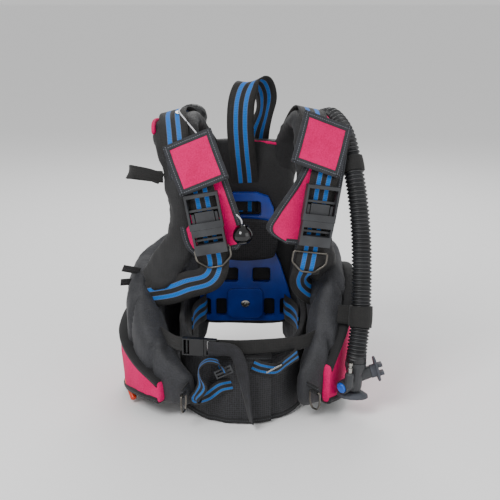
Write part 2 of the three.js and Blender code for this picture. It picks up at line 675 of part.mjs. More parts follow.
// ---------------------------------------------------------------- inflator hose and its elbow
const hosePoints = [
  [133, 68, 503],
  [146, 50, 513],
  [160, 26, 515],
  [178, -8, 490],
  [190, -34, 440],
  [199, -58, 383],
  [205, -76, 314],
  [206, -92, 245],
  [204, -108, 176],
  [198.7, -120, 128],
  [197, -120, 104],
];
const hose = (grow = 0) => wire(hosePoints, HOSE_RADIUS + grow, { sides: 10, steps: 22, across: X });
const HOSE_START = at(...hosePoints[0]);
const HOSE_LEAVES = at(...hosePoints[1]).sub(HOSE_START).normalize();
const ELBOW_FOOT = at(108, 92, 462);
const ELBOW_UP = at(0.25, 0.85, 0.45).normalize();
const FLANGE_RADIUS = 25;
function elbow(grow = 0) {
  const rim = FLANGE_RADIUS + grow;
  const disc = turned([[0, -7 - grow], [rim, -7 - grow], [rim, grow], [0, grow]]);
  const bend = [
    ELBOW_FOOT.clone(),
    ELBOW_FOOT.clone().addScaledVector(ELBOW_UP, 12).add(at(0, 0, 8)),
    HOSE_START.clone().addScaledVector(HOSE_LEAVES, -12),
    HOSE_START.clone().addScaledVector(HOSE_LEAVES, -GAP),
  ].map((p) => p.toArray());
  const pipe = wire(bend, HOSE_RADIUS - 2 + grow, { sides: 10, steps: 6, across: X });
  return join(aim(disc, ELBOW_UP, ELBOW_FOOT), pipe);
}
add('inflator_hose', hose(), FINISH.hose_rubber);
add('hose_elbow', elbow(), FINISH.black_plastic);

// ---------------------------------------------------------------- dump valve on the right shoulder
const VALVE_RADIUS = 27;
const VALVE_SEAT = 18;
const onValve = (profile, sides = 16) => aim(turned(profile, sides), VALVE_UP, VALVE_AT);
function valveCup(grow = 0) {
  const [foot, rim] = [VALVE_RADIUS - 4 + grow, VALVE_RADIUS + grow];
  return onValve([[0, -9 - grow], [foot, -9 - grow], [rim, 0], [rim, 7], [0, 7]]);
}
const valveHollow = onValve([[0, -6], [VALVE_SEAT, -6], [VALVE_SEAT, 8], [0, 8]]);
const capBlank = turned([[0, 7.3], [VALVE_RADIUS, 7.3], [VALVE_RADIUS - 1, 12], [VALVE_SEAT, 14], [0, 14]],
  16);
const capHollow = turned([[0, 7], [VALVE_SEAT, 7], [VALVE_SEAT, 11], [0, 11]], 16);
const capPorts = Array.from({ length: 6 }, (_, k) =>
  turned([[0, 5], [3, 5], [3, 20], [0, 20]], 8).translate(12, 0, 0).rotateZ((k * Math.PI) / 3));
add('dump_valve_body', cut(valveCup(), valveHollow, dumpCord(PRESS)), FINISH.black_plastic);
add('dump_valve_cap', cut(aim(cut(capBlank, capHollow, ...capPorts), VALVE_UP, VALVE_AT), dumpCord(PRESS)),
  FINISH.black_plastic);
add('dump_poppet', cut(onValve([[0, -0.7], [14, -0.7], [14, 2], [4, 3.5], [0, 3.5]]), dumpCord(PRESS)),
  FINISH.grey_rubber);
add('dump_cord', dumpCord(), FINISH.cord);

function grommet(grow = 0) {
  const [neck, rim] = [4.5 + grow, 7 + grow];
  const profile = [[0, -3 - grow], [neck, -3 - grow], [neck, 0], [rim, 0], [rim, 1.2 + grow], [0,
    1.2 + grow]];
  return aim(turned(profile, 14), GROMMET_UP, GROMMET_AT);
}
const grommetEye = aim(turned([[0, -9], [2.6, -9], [2.6, 9], [0, 9]], 10), GROMMET_UP, GROMMET_AT);
add('dump_grommet', cut(grommet(), grommetEye, dumpCord(PRESS)), FINISH.steel);
const knobProfile = [[0, -18], [9, -16.5], [15, -11], [17.5, -3], [17, 4], [13.5, 12], [7, 17], [4, 18],
  [0, 18]];
add('dump_knob', cut(aim(turned(knobProfile, 16), KNOB_PULL.clone().negate(), KNOB_AT), dumpCord(PRESS)),
  FINISH.black_plastic);

// ---------------------------------------------------------------- harness webbing below the buckles
const lowerWeb = {
  right: [
    [straps.right.point(0, LOWER_WEB_Y, -14), straps.right.heading(1, 0, 0)],
    [straps.right.point(0, LOWER_WEB_Y, -50), straps.right.heading(1, 0, 0)],
    [straps.right.point(-2, LOWER_WEB_Y + 0.5, -82), straps.right.heading(0.97, 0, -0.2)],
    [straps.right.point(-20, LOWER_WEB_Y + 4, -104), straps.right.heading(0.7, 0, -0.7)],
    [at(-104, -60, 226), at(0.35, 0, -0.93)],
    [at(-134, -50, 212), at(0.25, 0, -0.95)],
    [at(-176, -34, 200), at(0.25, 0, -0.97)],
  ],
  left: [
    [straps.left.point(0, LOWER_WEB_Y, -14), straps.left.heading(1, 0, 0)],
    [straps.left.point(0, LOWER_WEB_Y, -64), straps.left.heading(1, 0, 0)],
    [straps.left.point(-1, LOWER_WEB_Y + 1.4, -102), straps.left.heading(1, 0, 0)],
    [at(103, -58, 238), at(0.8, 0.5, 0.1)],
    [at(106, -42, 220), at(0.5, 0.8, 0.3)],
    [at(120, -26, 204), at(0.2, 0.6, 0.8)],
    [at(146, -10, 196), at(0, 0.4, 0.9)],
  ],
};
const lowerWebbing = (name, grow = 0) =>
  sweep(route(lowerWeb[name].map(([p, across]) => [...p.toArray(), across, WEB_WIDE / 2, WEB_THICK / 2]), 11),
    RECTANGLE, { grow });

// ---------------------------------------------------------------- wings, shoulders and pockets
// A ring hangs from a folded tab that is sewn low on the front of each wing.
const RINGS = {
  // middle of the ring's top bar, and the way back to the wing in plan
  right: { bar: at(-106, -175, 64), turn: 75 },
  left: { bar: at(122, -164, 64), turn: 128 },
};
const LOWER_WIRE = 1.7;
const LOWER_HALF = 13;
for (const [name, ring] of Object.entries(RINGS)) {
  const group = new THREE.Group();
  group.position.copy(ring.bar);
  group.rotation.z = degrees(ring.turn);
  vest.add(group);
  const corners = [
    [-LOWER_HALF, 0, 0],
    [-LOWER_HALF, 0, -20],
    [-7, 0, -32],
    [7, 0, -32],
    [LOWER_HALF, 0, -20],
    [LOWER_HALF, 0, 0],
  ];
  add(`${name}_lower_ring`, wireLoop(corners, LOWER_WIRE, 4, Y), FINISH.steel, group);
  const fold = box([-8, -3.4, -3.4], [8, 3.4, 11]);
  const strip = box([-8, -2, 5], [40, 2, 11]);
  const eye = LOWER_WIRE + 0.6;
  const hole = aim(turned([[0, -12], [eye, -12], [eye, 12], [0, 12]], 8), X, at(0, 0, 0));
  ring.tab = inPlace(cut(join(fold, strip), hole), group);
}

const rooms = {};
const plateRoom = box([-PLATE_HALF - 1, PLATE_FRONT - 9, PLATE_LOW - 1], [PLATE_HALF + 1,
  PLATE_REAR + PRESS, PLATE_MID]);
for (const [name, wing] of Object.entries(WINGS)) {
  const stops = wingStops(wing);
  rooms[name] = sweep(stops, wingSection, { grow: PRESS });
  const bag = cut(sweep(stops, wingSection), backRoom, bandRoom, plateRoom);
  add(`${name}_wing`, join(bag, RINGS[name].tab), FINISH.shell);
}
for (const [name, points] of Object.entries(shoulderPath)) {
  const stops = rounded(route(points, 10), 6);
  rooms[`${name}_shoulder`] = sweep(stops, shoulderSection, { grow: PRESS });
  const fittings = name === 'left' ? [elbow(PRESS), hose(PRESS)] : [valveCup(PRESS), grommet(PRESS),
    dumpCord(PRESS)];
  fittings.push(straps[name].lapelRoom, loopRoom, lowerWebbing(name, PRESS));
  add(`${name}_shoulder`, cut(sweep(stops, shoulderSection), backRoom, rooms[name], ...fittings),
    FINISH.shell);
  add(`${name}_lower_webbing`, cut(lowerWebbing(name), rooms[name]), FINISH.webbing);
  const { lapelShape, lapelRoom, flapShape, webShape, webRoom } = straps[name];
  add(`${name}_lapel`, cut(lapelShape, lowerWebbing(name, PRESS)), FINISH.pink);
  add(`${name}_lapel_flap`, cut(flapShape, rooms[`${name}_shoulder`], lapelRoom, webRoom, dumpCord(PRESS)),
    FINISH.pink);
  add(`${name}_shoulder_webbing`, cut(webShape, rooms[`${name}_shoulder`]), FINISH.webbing);
}
const POCKETS = {
  // place along the wing, lowest and highest edge
  right: [
    [1, 30, 150],
    [2, 18, 150],
    [3, 14, 132],
    [4, 22, 116],
    [5, 32, 96],
    [6, 34, 72],
  ],
  left: [
    [1, 30, 200],
    [2, 18, 232],
    [3, 14, 240],
    [4, 16, 216],
    [5, 22, 158],
    [6, 28, 98],
  ],
};
for (const [name, rows] of Object.entries(POCKETS)) {
  const { side, path } = WINGS[name];
  const lifted = rows.map(([k, low, high]) => {
    const [x, y] = shifted(path, side, path[k][4] + POCKET_DEEP * 0.3)[k];
    return [x, y, (low + high) / 2, at(side * WING_LEAN, 0, 1), (high - low) / 2, POCKET_DEEP];
  });
  const stops = rounded(upright(route(lifted, 8)), 5);
  rooms[`${name}_pocket`] = sweep(stops, oval(12, 4), { grow: PRESS });
  add(`${name}_pocket`, cut(sweep(stops, oval(12, 4)), rooms[name], hose(PRESS)), FINISH.pink);
}

// ---------------------------------------------------------------- cummerbund
/** Half of the plan of the waist, from the plate forwards to past the middle, moved out by a distance. */
function waist(side, distance = 0) {
  const plan = [[88, 74], [102, 44], [108, -10], [104, -60], [85, -104], [50, -132], [0, -146], [-44, -137]];
  return shifted(plan.map(([x, y]) => [side * x, y]), side, distance);
}
const BAND_EDGES = [
  [60, 168],
  [34, 176],
  [20, 172],
  [6, 156],
  [2, 138],
  [0, BAND_HIGH],
  [0, BAND_HIGH],
  [2, BAND_HIGH - 2],
];
const LAP = 2 * BAND_DEEP + 2 * GAP; // the right half closes over the left
function cummerbund(side, distance, grow = 0) {
  const points = waist(side, distance).map(([x, y], k) => {
    const [low, high] = BAND_EDGES[k];
    return [x, y, (low + high) / 2, Z, (high - low) / 2, BAND_DEEP];
  });
  return sweep(upright(route(points, 14)), oval(8, 6), { grow });
}
const plateEdge = box([-PLATE_HALF - 1, PLATE_FRONT - PRESS, 0], [PLATE_HALF + 1, PLATE_REAR + 20, NECK_Z]);
add('right_cummerbund', cut(cummerbund(-1, LAP), backRoom, plateEdge, rooms.right, rooms.left), FINISH.mesh);
add('left_cummerbund', cut(cummerbund(1, 0), backRoom, plateEdge, rooms.right, rooms.left, cummerbund(-1,
  LAP, PRESS)),
  FINISH.mesh);

// ---------------------------------------------------------------- waist belt
const beltBuckle = new THREE.Group();
beltBuckle.position.set(-78, FRONT_Y - 7, 145);
beltBuckle.rotation.z = degrees(-10);
vest.add(beltBuckle);
beltBuckle.updateMatrixWorld(true);
const CLASP_HALF = 15; // half of the clasp's height
const CLASP_DEEP = 6; // half of its thickness
const SOCKET_END = -30;
const MEETING = 8; // where the plug's frame meets the socket
function beltSocket() {
  const shell = box([SOCKET_END, -CLASP_DEEP, -CLASP_HALF], [MEETING, CLASP_DEEP, CLASP_HALF]);
  const mouth = box([-14, -3.6, -12], [MEETING + 1, 3.6, 12]);
  const window = box([SOCKET_END + 3, -9, -13], [-17, 9, 13]);
  const bar = box([-24, -1.5, -14], [-21, 1.5, 14]);
  return join(cut(shell, mouth, window), bar);
}
function beltPlug() {
  const frame = box([MEETING + GAP, -CLASP_DEEP + 1, -CLASP_HALF], [30, CLASP_DEEP - 1, CLASP_HALF]);
  const window = box([13, -9, -12.5], [26, 9, 12.5]);
  const bar = box([18, -1.5, -14], [21, 1.5, 14]);
  const prong = (low, high) => box([-11, -2.8, low], [MEETING + 2, 2.8, high]);
  return join(cut(frame, window), bar, prong(7, 11), prong(-11, -7), prong(-2, 2));
}
add('belt_socket', beltSocket(), FINISH.black_plastic, beltBuckle);
add('belt_plug', beltPlug(), FINISH.black_plastic, beltBuckle);

const beltRoom = inPlace(box([SOCKET_END - 1, -CLASP_DEEP, -CLASP_HALF], [MEETING, CLASP_DEEP + 0.2,
  CLASP_HALF]), beltBuckle);
const claspPoint = (x, y, z = 0) => beltBuckle.localToWorld(at(x, y, z)).toArray();
const BELT_BACK = CLASP_DEEP + GAP + BELT_THICK / 2;
const beltRoute = (points, steps) =>
  route(points.map((p) => [...p, Z, BELT_WIDE / 2, BELT_THICK / 2]), steps);
const rightBelt = beltRoute(
  [claspPoint(-18, BELT_BACK), claspPoint(-32, BELT_BACK), [-122, -130, 143], [-138, -104, 142], [-152,
    -80, 142]], 7);
const leftBelt = beltRoute(
  [claspPoint(16, BELT_BACK - 1), claspPoint(34, BELT_BACK - 1), [-6, -162, 146], [30, -160, 147], [64,
    -151, 146],
    [96, -133, 143], [122, -104, 142], [136, -82, 142]], 12);
add('right_waist_belt', cut(sweep(rightBelt, RECTANGLE), rooms.right, beltRoom), FINISH.webbing);
add('left_waist_belt', cut(sweep(leftBelt, RECTANGLE), rooms.left), FINISH.webbing);

const TAIL_FRONT = CLASP_DEEP - 1 + GAP + BELT_THICK / 2;
const tailPoints = [
  [...claspPoint(16, -TAIL_FRONT), Z],
  [...claspPoint(32, -TAIL_FRONT), Z],
  [-20, -174, 143, at(0.5, -0.3, 0.8)],
  [-8, -178, 124, at(0.85, -0.5, 0.2)],
  [-3, -178, 97, at(0.8, -0.6, 0)],
  [4, -178, 54, at(0.5, -0.86, 0)],
  [11, -177, 12, at(0.3, -0.95, 0)],
].map((p) => [...p, BELT_WIDE / 2, BELT_THICK / 2]);
add('belt_tail', sweep(route(tailPoints, 13), RECTANGLE), FINISH.binding);

// ---------------------------------------------------------------- adjusting straps on the cummerbund
const ladder = new THREE.Group();
ladder.position.set(-36, -171, 104);
ladder.rotation.set(degrees(-10), degrees(-25), 0, 'ZYX');
vest.add(ladder);
ladder.updateMatrixWorld(true);
const ladderFrame = (grow = 0) => box([-16 - grow, -3.5 - grow, -7 - grow], [16 + grow, 3.5 + grow,
  7 + grow]);
const ladderSlots = [box([-13, -9, -4.6], [13, 9, -1.6]), box([-13, -9, 1.6], [13, 9, 4.6])];
add('ladder_lock', cut(ladderFrame(), ...ladderSlots), FINISH.grey_plastic, ladder);
const facing = at(-0.3, 0, 0.95);
const rightAdjuster = [
  [-22, -154, 73, facing],
  [-43, -157, 69, facing],
  [-64, -159, 54, facing],
  [-82, -158, 46, at(-0.2, -0.5, 0.8)],
  [-86, -166, 54, at(0.4, -0.9, 0.3)],
  [-74, -172, 76, at(0.7, -0.7, -0.1)],
  [-78, -172, 96, at(0.3, -0.95, 0)],
  [-77, -172, 114, at(0, -1, 0)],
  [-64, -172, 125, at(0, -1, 0)],
  [-48, -172, 123, at(0, -1, 0)],
  [-41, -172, 113, at(0.5, -0.85, 0.2)],
  [-37, -171, 103, at(0.6, -0.8, 0.2)],
].map((p) => [...p, BELT_WIDE / 2, BELT_THICK / 2]);
const adjusterRoom = inPlace(ladderFrame(PRESS), ladder);
add('right_adjuster', cut(sweep(route(rightAdjuster, 18), RECTANGLE), adjusterRoom,
  cummerbund(-1, LAP, PRESS)), FINISH.webbing);

const glide = new THREE.Group();
glide.position.set(52, -172, 111);
glide.rotation.set(degrees(70), degrees(-30), 0, 'ZYX');
vest.add(glide);
glide.updateMatrixWorld(true);
const glideFrame = (grow = 0) => box([-15 - grow, -1.2 - grow, -11 - grow], [15 + grow, 1.2 + grow,
  11 + grow]);
const glideSlots = [box([-12.5, -5, -8.5], [12.5, 5, -2]), box([-12.5, -5, 2], [12.5, 5, 8.5])];
add('tri_glide', cut(glideFrame(), ...glideSlots), FINISH.steel, glide);
const leftAdjuster = [
  [92, -143, 126, at(0.2, 0, 1)],
  [72, -157, 116, at(0.2, -0.2, 1)],
  [54, -165, 106, at(0.15, -0.3, 1)],
  [30, -158, 105, at(0.1, 0, 1)],
  [14, -157, 111, at(0.1, 0, 1)],
].map((p) => [...p, BELT_WIDE / 2, BELT_THICK / 2]);
add('left_adjuster', cut(sweep(route(leftAdjuster, 9), RECTANGLE), rooms.left,
  cummerbund(-1, LAP, PRESS), inPlace(glideFrame(PRESS), glide)), FINISH.webbing);

// ---------------------------------------------------------------- inflator
const inflator = new THREE.Group();
inflator.position.set(...hosePoints[hosePoints.length - 1]);
inflator.rotation.y = degrees(4);
vest.add(inflator);
inflator.updateMatrixWorld(true);

const BARREL = 14;
const HEAD = at(0, 0, -38); // where the power button's housing leaves the barrel
const BUTTON_WAY = at(-0.74, -0.63, -0.22).normalize();
const HOUSING_RADIUS = 12.5;
const HOUSING_REACH = 31;
const BUTTON_RADIUS = 9.5;
const housingEnd = HEAD.clone().addScaledVector(BUTTON_WAY, HOUSING_REACH);
const onHousing = (profile, sides = 16) => aim(turned(profile, sides), BUTTON_WAY, housingEnd);
const NIPPLE = at(-12, -22, 0);
const PORT_WAY = at(0.93, 0.1, 0.34).normalize();
const PORT_AT = at(0, 0, -30);
const MOUTH_START = 30;
const onPort = (shape) => shape.applyQuaternion(new THREE.Quaternion().setFromUnitVectors(X, PORT_WAY))
  .translate(...PORT_AT.toArray());
const barrel = turned([[0, -53], [BARREL, -53], [BARREL + 1, -46], [BARREL + 1, -22], [HOSE_RADIUS + 1, -7],
  [HOSE_RADIUS + 1, -2 * GAP], [0, -2 * GAP]], 16);
const housing = onHousing([[0, -HOUSING_REACH], [HOUSING_RADIUS - 2, -HOUSING_REACH], [HOUSING_RADIUS, -16],
  [HOUSING_RADIUS, 0], [0, 0]]);
const buttonBore = onHousing([[0, -13], [BUTTON_RADIUS + GAP, -13], [BUTTON_RADIUS + GAP, 2], [0, 2]]);
const nippleSocket = turned([[0, -40], [8, -40], [8, -18], [6.5, -15], [0, -15]], 12).translate(NIPPLE.x,
  NIPPLE.y, 0);
const port = onPort(sweep(
  route([[0, 0, 0, Z, 12, 8], [12, 0, 0, Z, 12, 8], [MOUTH_START, 0, 0, Z, 11, 7]], 2), oval(12, 2.4)));
const portBore = onPort(box([8, -3, -6], [MOUTH_START + 1, 3, 6]));
const stemBore = turned([[0, -60], [7, -60], [7, -36], [0, -36]], 12);
add('inflator_body', cut(join(barrel, housing, nippleSocket, port), buttonBore, portBore, stemBore),
  FINISH.grey_plastic, inflator);
add('inflate_button', onHousing([[0, -5], [BUTTON_RADIUS, -5], [BUTTON_RADIUS, 2], [BUTTON_RADIUS - 1.5,
  3.5], [0, 3.5]]),
  FINISH.blue_button, inflator);

/** A coil spring about +Z between two heights. */
function spring(radius, low, high, turns, thick) {
  const steps = turns * 9;
  const coil = Array.from({ length: steps + 1 }, (_, k) => {
    const a = (2 * Math.PI * k) / 9;
    return at(radius * Math.cos(a), radius * Math.sin(a),
      low + thick + ((high - low - 2 * thick) * k) / steps);
  });
  const stops = coil.map((p, k) => {
    const along = (coil[k + 1] ?? p).clone().sub(coil[k - 1] ?? p);
    return { at: p, along, across: Z, wide: thick, deep: thick };
  });
  return sweep(stops, oval(5));
}
add('inflate_spring', aim(spring(5, -13 + GAP, -5 - GAP, 3, 0.7), BUTTON_WAY, housingEnd), FINISH.steel,
  inflator);
const nippleProfile = [[0, -14.7], [4.2, -14.7], [4.2, -6], [2.8, -5], [2.8, -2], [4.2, -1], [4.2, 4], [0,
  4]];
add('hose_nipple', turned(nippleProfile, 12).translate(NIPPLE.x, NIPPLE.y, 0), FINISH.steel, inflator);

const flare = sweep(
  route([[0, 0, -57.5, X, 17, 15], [0, 0, -60, X, 22, 18], [0, 0, -63, X, 27, 20], [0, 0, -67, X, 28, 20]],
    3),
  oval(16));
const stem = turned([[0, -60], [6.5, -60], [6.5, -41], [0, -41]], 12);
add('deflate_button', join(flare, stem), FINISH.grey_rubber, inflator);

const sleeve = sweep(
  route([[MOUTH_START + GAP, 0, 0, Z, 12, 8], [40, 0, 0, Z, 12, 8], [45, 0, 0, Z, 14, 8]], 2), oval(12, 2.4));
const lipFlange = sweep(
  route([[40, 0, 2, Z, 23, 13], [42, 0, 2, Z, 24, 14], [44, 0, 2, Z, 23, 13]], 2), oval(14, 2.4));
const biteTabs = [-1, 1].map((k) => box([43, -6, k * 8 - 3], [53, 6, k * 8 + 3]));
const mouthBore = box([20, -3, -5], [60, 3, 5]);
add('mouthpiece', onPort(cut(join(sleeve, lipFlange, ...biteTabs), mouthBore)), FINISH.grey_rubber, inflator);

// ---------------------------------------------------------------- what holds the hose
const BAND_ALONG = 0.79; // how far down the hose the lower band sits
const hoseCurve = new THREE.CatmullRomCurve3(hosePoints.map((p) => at(...p)), false, 'catmullrom', 0.5);
/** A collar round the hose, long enough to reach sideways to what it is sewn to. */
function collar(t, half, reach, way) {
  const here = hoseCurve.getPoint(t);
  const along = hoseCurve.getTangent(t);
  const ring = (radius) => Array.from({ length: 18 }, (_, k) => {
    const a = (2 * Math.PI * k) / 18;
    const bulge = 1 + (reach * Math.max(0, Math.cos(a)) ** 8) / radius;
    return [radius * bulge * Math.cos(a), radius * Math.sin(a), 0, Z, half, 1.3];
  });
  const band = sweep(route(ring(HOSE_RADIUS / Math.cos(Math.PI / 10) + 1.9), 18, true), RECTANGLE,
    { closed: true });
  const sideways = way.clone().addScaledVector(along, -along.dot(way)).normalize();
  const basis = new THREE.Matrix4().makeBasis(sideways, new THREE.Vector3().crossVectors(along, sideways),
    along);
  return band.applyMatrix4(basis).translate(here.x, here.y, here.z);
}
add('hose_keeper', cut(collar(0.4, 14, 26, at(-1, 0.1, 0)), hose(PRESS), rooms.left_shoulder,
  straps.left.lapelRoom), FINISH.binding);
add('hose_band', cut(collar(BAND_ALONG, 19, 22, at(-1, 0.4, 0)), hose(PRESS), rooms.left, rooms.left_pocket),
  FINISH.binding);

// ---------------------------------------------------------------- whistle
const whistleTube = wire([[-220, -40, 36], [-214, -52, 22], [-207, -64, 8]], 6, { sides: 10, steps: 2,
  across: X });
add('whistle', cut(whistleTube, rooms.right, rooms.right_pocket), FINISH.orange);

// ---------------------------------------------------------------- origin
// The base's middle, from everything but the hose, which hangs free.
const bounds = new THREE.Box3();
vest.updateMatrixWorld(true);
vest.traverse((piece) => {
  if (piece.isMesh && piece.name !== 'inflator_hose') bounds.expandByObject(piece, true);
});
const centre = bounds.getCenter(at(0, 0, 0));
vest.position.set(-centre.x, -centre.y, -bounds.min.z);
const part = new THREE.Group();
part.add(vest);
export default part;
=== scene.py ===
# %% [markdown]
# A diver's buoyancy jacket, standing empty. The hard parts, such as buckles, plate and inflator, come ready
# made from the CAD frame. Everything soft is made here: padded air cells, bound panels, webbing, mesh and
# hose. Every piece is placed in the frame's own metres, so nothing is fitted by eye.

# %% Load the frame
import json
import math

import bmesh
import bpy
import numpy as np
from mathutils import Matrix, Vector, noise


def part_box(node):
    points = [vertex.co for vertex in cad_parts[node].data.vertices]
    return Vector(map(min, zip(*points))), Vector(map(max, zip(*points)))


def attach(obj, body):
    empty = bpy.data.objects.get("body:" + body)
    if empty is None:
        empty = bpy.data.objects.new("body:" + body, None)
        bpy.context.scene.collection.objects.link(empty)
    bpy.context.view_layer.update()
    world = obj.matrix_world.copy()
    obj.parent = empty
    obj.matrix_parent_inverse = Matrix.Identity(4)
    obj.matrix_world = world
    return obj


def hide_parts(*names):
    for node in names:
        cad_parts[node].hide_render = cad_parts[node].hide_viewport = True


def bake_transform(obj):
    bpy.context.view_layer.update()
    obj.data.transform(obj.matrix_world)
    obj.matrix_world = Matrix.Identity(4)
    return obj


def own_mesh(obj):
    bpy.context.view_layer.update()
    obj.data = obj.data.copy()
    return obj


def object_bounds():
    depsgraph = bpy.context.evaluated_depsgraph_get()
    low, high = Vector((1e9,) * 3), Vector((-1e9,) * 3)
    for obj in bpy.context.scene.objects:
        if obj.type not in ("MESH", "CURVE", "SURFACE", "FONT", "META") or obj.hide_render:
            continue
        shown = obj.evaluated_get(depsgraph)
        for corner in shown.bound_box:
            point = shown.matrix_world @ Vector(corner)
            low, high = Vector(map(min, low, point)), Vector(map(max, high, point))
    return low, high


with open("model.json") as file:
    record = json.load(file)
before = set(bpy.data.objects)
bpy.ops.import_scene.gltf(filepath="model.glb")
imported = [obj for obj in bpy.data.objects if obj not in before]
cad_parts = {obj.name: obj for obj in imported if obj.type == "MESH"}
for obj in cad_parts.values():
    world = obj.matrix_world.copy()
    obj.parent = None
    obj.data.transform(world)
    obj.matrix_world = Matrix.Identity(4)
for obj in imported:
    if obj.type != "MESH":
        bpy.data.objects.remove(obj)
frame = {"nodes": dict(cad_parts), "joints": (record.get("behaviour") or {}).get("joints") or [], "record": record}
CAD_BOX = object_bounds()

# %% [markdown]
# The jacket was drawn in millimetres about the middle of the wearer's back, and then moved so that it
# stands on the floor. The backplate's lowest corner says how far it was moved. Each point below is written
# in the drawing's millimetres and goes through one function.

# %% From the drawing's millimetres to the frame's metres
PLATE_CORNER = np.array([-94.0, 55.0, 116.0])
SHIFT = np.array(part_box("backpack_plate")[0]) * 1000 - PLATE_CORNER
print("drawing moved by", [round(float(v), 2) for v in SHIFT], "mm")


def here(*point):
    """A point of the drawing, in millimetres, as a place in the frame."""
    return Vector((np.array(point, float) + SHIFT) / 1000)


# %% [markdown]
# The camera comes first, so that everything can be judged through it. It stands a little above the jacket,
# 1.75 m away, with a short telephoto lens that keeps its shape true.

# %% Camera
DISTANCE = 1.75
LOOK_DOWN = math.radians(15)
AIM = here(9, 0, 275.4)
camera = bpy.data.objects.new("camera", bpy.data.cameras.new("camera"))
camera.data.lens = 68.1
camera.data.sensor_width = 36
camera.location = AIM + Vector((0, -math.cos(LOOK_DOWN), math.sin(LOOK_DOWN))) * DISTANCE
camera.rotation_euler = (math.pi / 2 - LOOK_DOWN, 0, 0)
bpy.context.scene.collection.objects.link(camera)
bpy.context.scene.camera = camera

# %% [markdown]
# Nearly everything on a jacket is a strip or a tube that follows a path: webbing, hose, air cells,
# bindings. So one pair of helpers does most of the modelling. The first draws a smooth line through a few
# guide rows. The second carries a cross-section along it and keeps a flat map of the strip in the UVs, in
# metres, so that a woven stripe or a stitch lands where it should.


# %% Paths and sections
def smooth(rows, count, closed=False):
    """Rows of numbers, sampled evenly along a Catmull-Rom line through them."""
    v = np.array(rows, float)
    spans = len(v) if closed else len(v) - 1
    u = np.linspace(0, spans, count, endpoint=not closed)
    i = np.minimum(u.astype(int), spans - 1)
    f = (u - i)[:, None]
    if closed:
        pick = lambda k: v[k % len(v)]
    else:
        ends = np.vstack([2 * v[0] - v[1], v, 2 * v[-1] - v[-2]])
        pick = lambda k: ends[k + 1]
    before, a, b, after = pick(i - 1), pick(i), pick(i + 1), pick(i + 2)
    leave, arrive = (b - before) / 2, (after - a) / 2
    ease = 3 * f**2 - 2 * f**3
    return a + (b - a) * ease + (f**3 - 2 * f**2 + f) * leave + (f**3 - f**2) * arrive


X, Y, Z = (1, 0, 0), (0, 1, 0), (0, 0, 1)


def unit(v):
    return v / np.maximum(np.linalg.norm(v, axis=-1, keepdims=True), 1e-12)


FIELDS = ("place", "along", "across", "out", "wide", "deep")


class Path:
    """Stops along a guide: place, direction, the section's two directions and its half sizes, all in metres."""

    def __init__(self, rows, count, closed=False, level=None, into=None):
        # each row: x, y, z, across x, y, z, half width, half depth, in the drawing's millimetres
        rows = [list(r[:3]) + list(r[3]) + list(r[4:6]) for r in rows]
        line = smooth(rows, count, closed)
        place, across = line[:, :3], line[:, 3:6]
        self.closed = closed
        step = np.roll(place, -1, 0) - np.roll(place, 1, 0) if closed else np.gradient(place, axis=0)
        if level is not None:
            step[:, level] = 0
        self.along = unit(step)
        self.across = unit(across - self.along * np.sum(across * self.along, 1, keepdims=True))
        self.out = unit(np.cross(self.across, self.along))
        if into is not None:
            turn = np.array(into.to_3x3()).T
            place = place @ turn + np.array(into.translation)
            self.along, self.across, self.out = self.along @ turn, self.across @ turn, self.out @ turn
        self.place = (place + SHIFT) / 1000
        self.wide, self.deep = line[:, 6] / 1000, line[:, 7] / 1000
        self.measure()

    def measure(self):
        gaps = np.linalg.norm(np.diff(self.place, axis=0), axis=1)
        self.length = np.concatenate([[0], np.cumsum(gaps)])
        return self

    def rounded(self, reach, steps=6):
        """Both ends drawn in to a soft nose."""
        for end in (0, -1):
            way = -1 if end == 0 else 1
            angles = np.linspace(0.12, 1.35, steps)
            order = angles if end == 0 else angles[::-1]
            nose = self.place[end] + self.along[end] * way * reach * np.cos(order)[:, None]
            grow = np.sin(order)
            added = {"place": nose, "wide": self.wide[end] * grow, "deep": self.deep[end] * grow}
            for field in FIELDS:
                kept = getattr(self, field)
                new = added.get(field)
                if new is None:
                    new = np.repeat(kept[end][None], steps, 0)
                setattr(self, field, np.concatenate([new, kept] if end == 0 else [kept, new]))
        return self.measure()

    def part(self, stops=slice(None), **changes):
        """A copy of some of its stops, with some fields given anew. A half size may be one number."""
        made = object.__new__(Path)
        made.closed = self.closed
        for field in FIELDS:
            setattr(made, field, changes.get(field, getattr(self, field)[stops]))
        made.wide, made.deep = (np.zeros(len(made.place)) + size for size in (made.wide, made.deep))
        return made.measure()

    def on(self, a, b):
        """The line of points at that share of the half width and depth."""
        return self.place + self.across * (a * self.wide)[:, None] + self.out * (b * self.deep)[:, None]


def oval(sides, power=2.0):
    """A section between a circle (2) and a box (large power)."""
    angle = 2 * np.pi * (np.arange(sides) + 0.5) / sides
    bulge = lambda v: np.sign(v) * np.abs(v) ** (2 / power)
    section = np.stack([bulge(np.cos(angle)), bulge(np.sin(angle))], 1)
    return section / np.abs(section).max(0)


def flat_section(across=7):
    """A flat strip: points over the front face and back over the rear face."""
    a = np.linspace(-1, 1, across)
    return np.concatenate([np.stack([a, -np.ones(across)], 1), np.stack([a[::-1], np.ones(across)], 1)])


def new_object(name, points, faces, uv=None):
    mesh = bpy.data.meshes.new(name)
    mesh.from_pydata([tuple(p) for p in points], [], faces)
    if uv is not None:
        layer = mesh.uv_layers.new(name="flat")
        layer.data.foreach_set("uv", np.array(uv, np.float32).ravel())
    mesh.validate()
    mesh.update()
    obj = bpy.data.objects.new(name, mesh)
    bpy.context.scene.collection.objects.link(obj)
    for polygon in mesh.polygons:
        polygon.use_smooth = True
    return obj


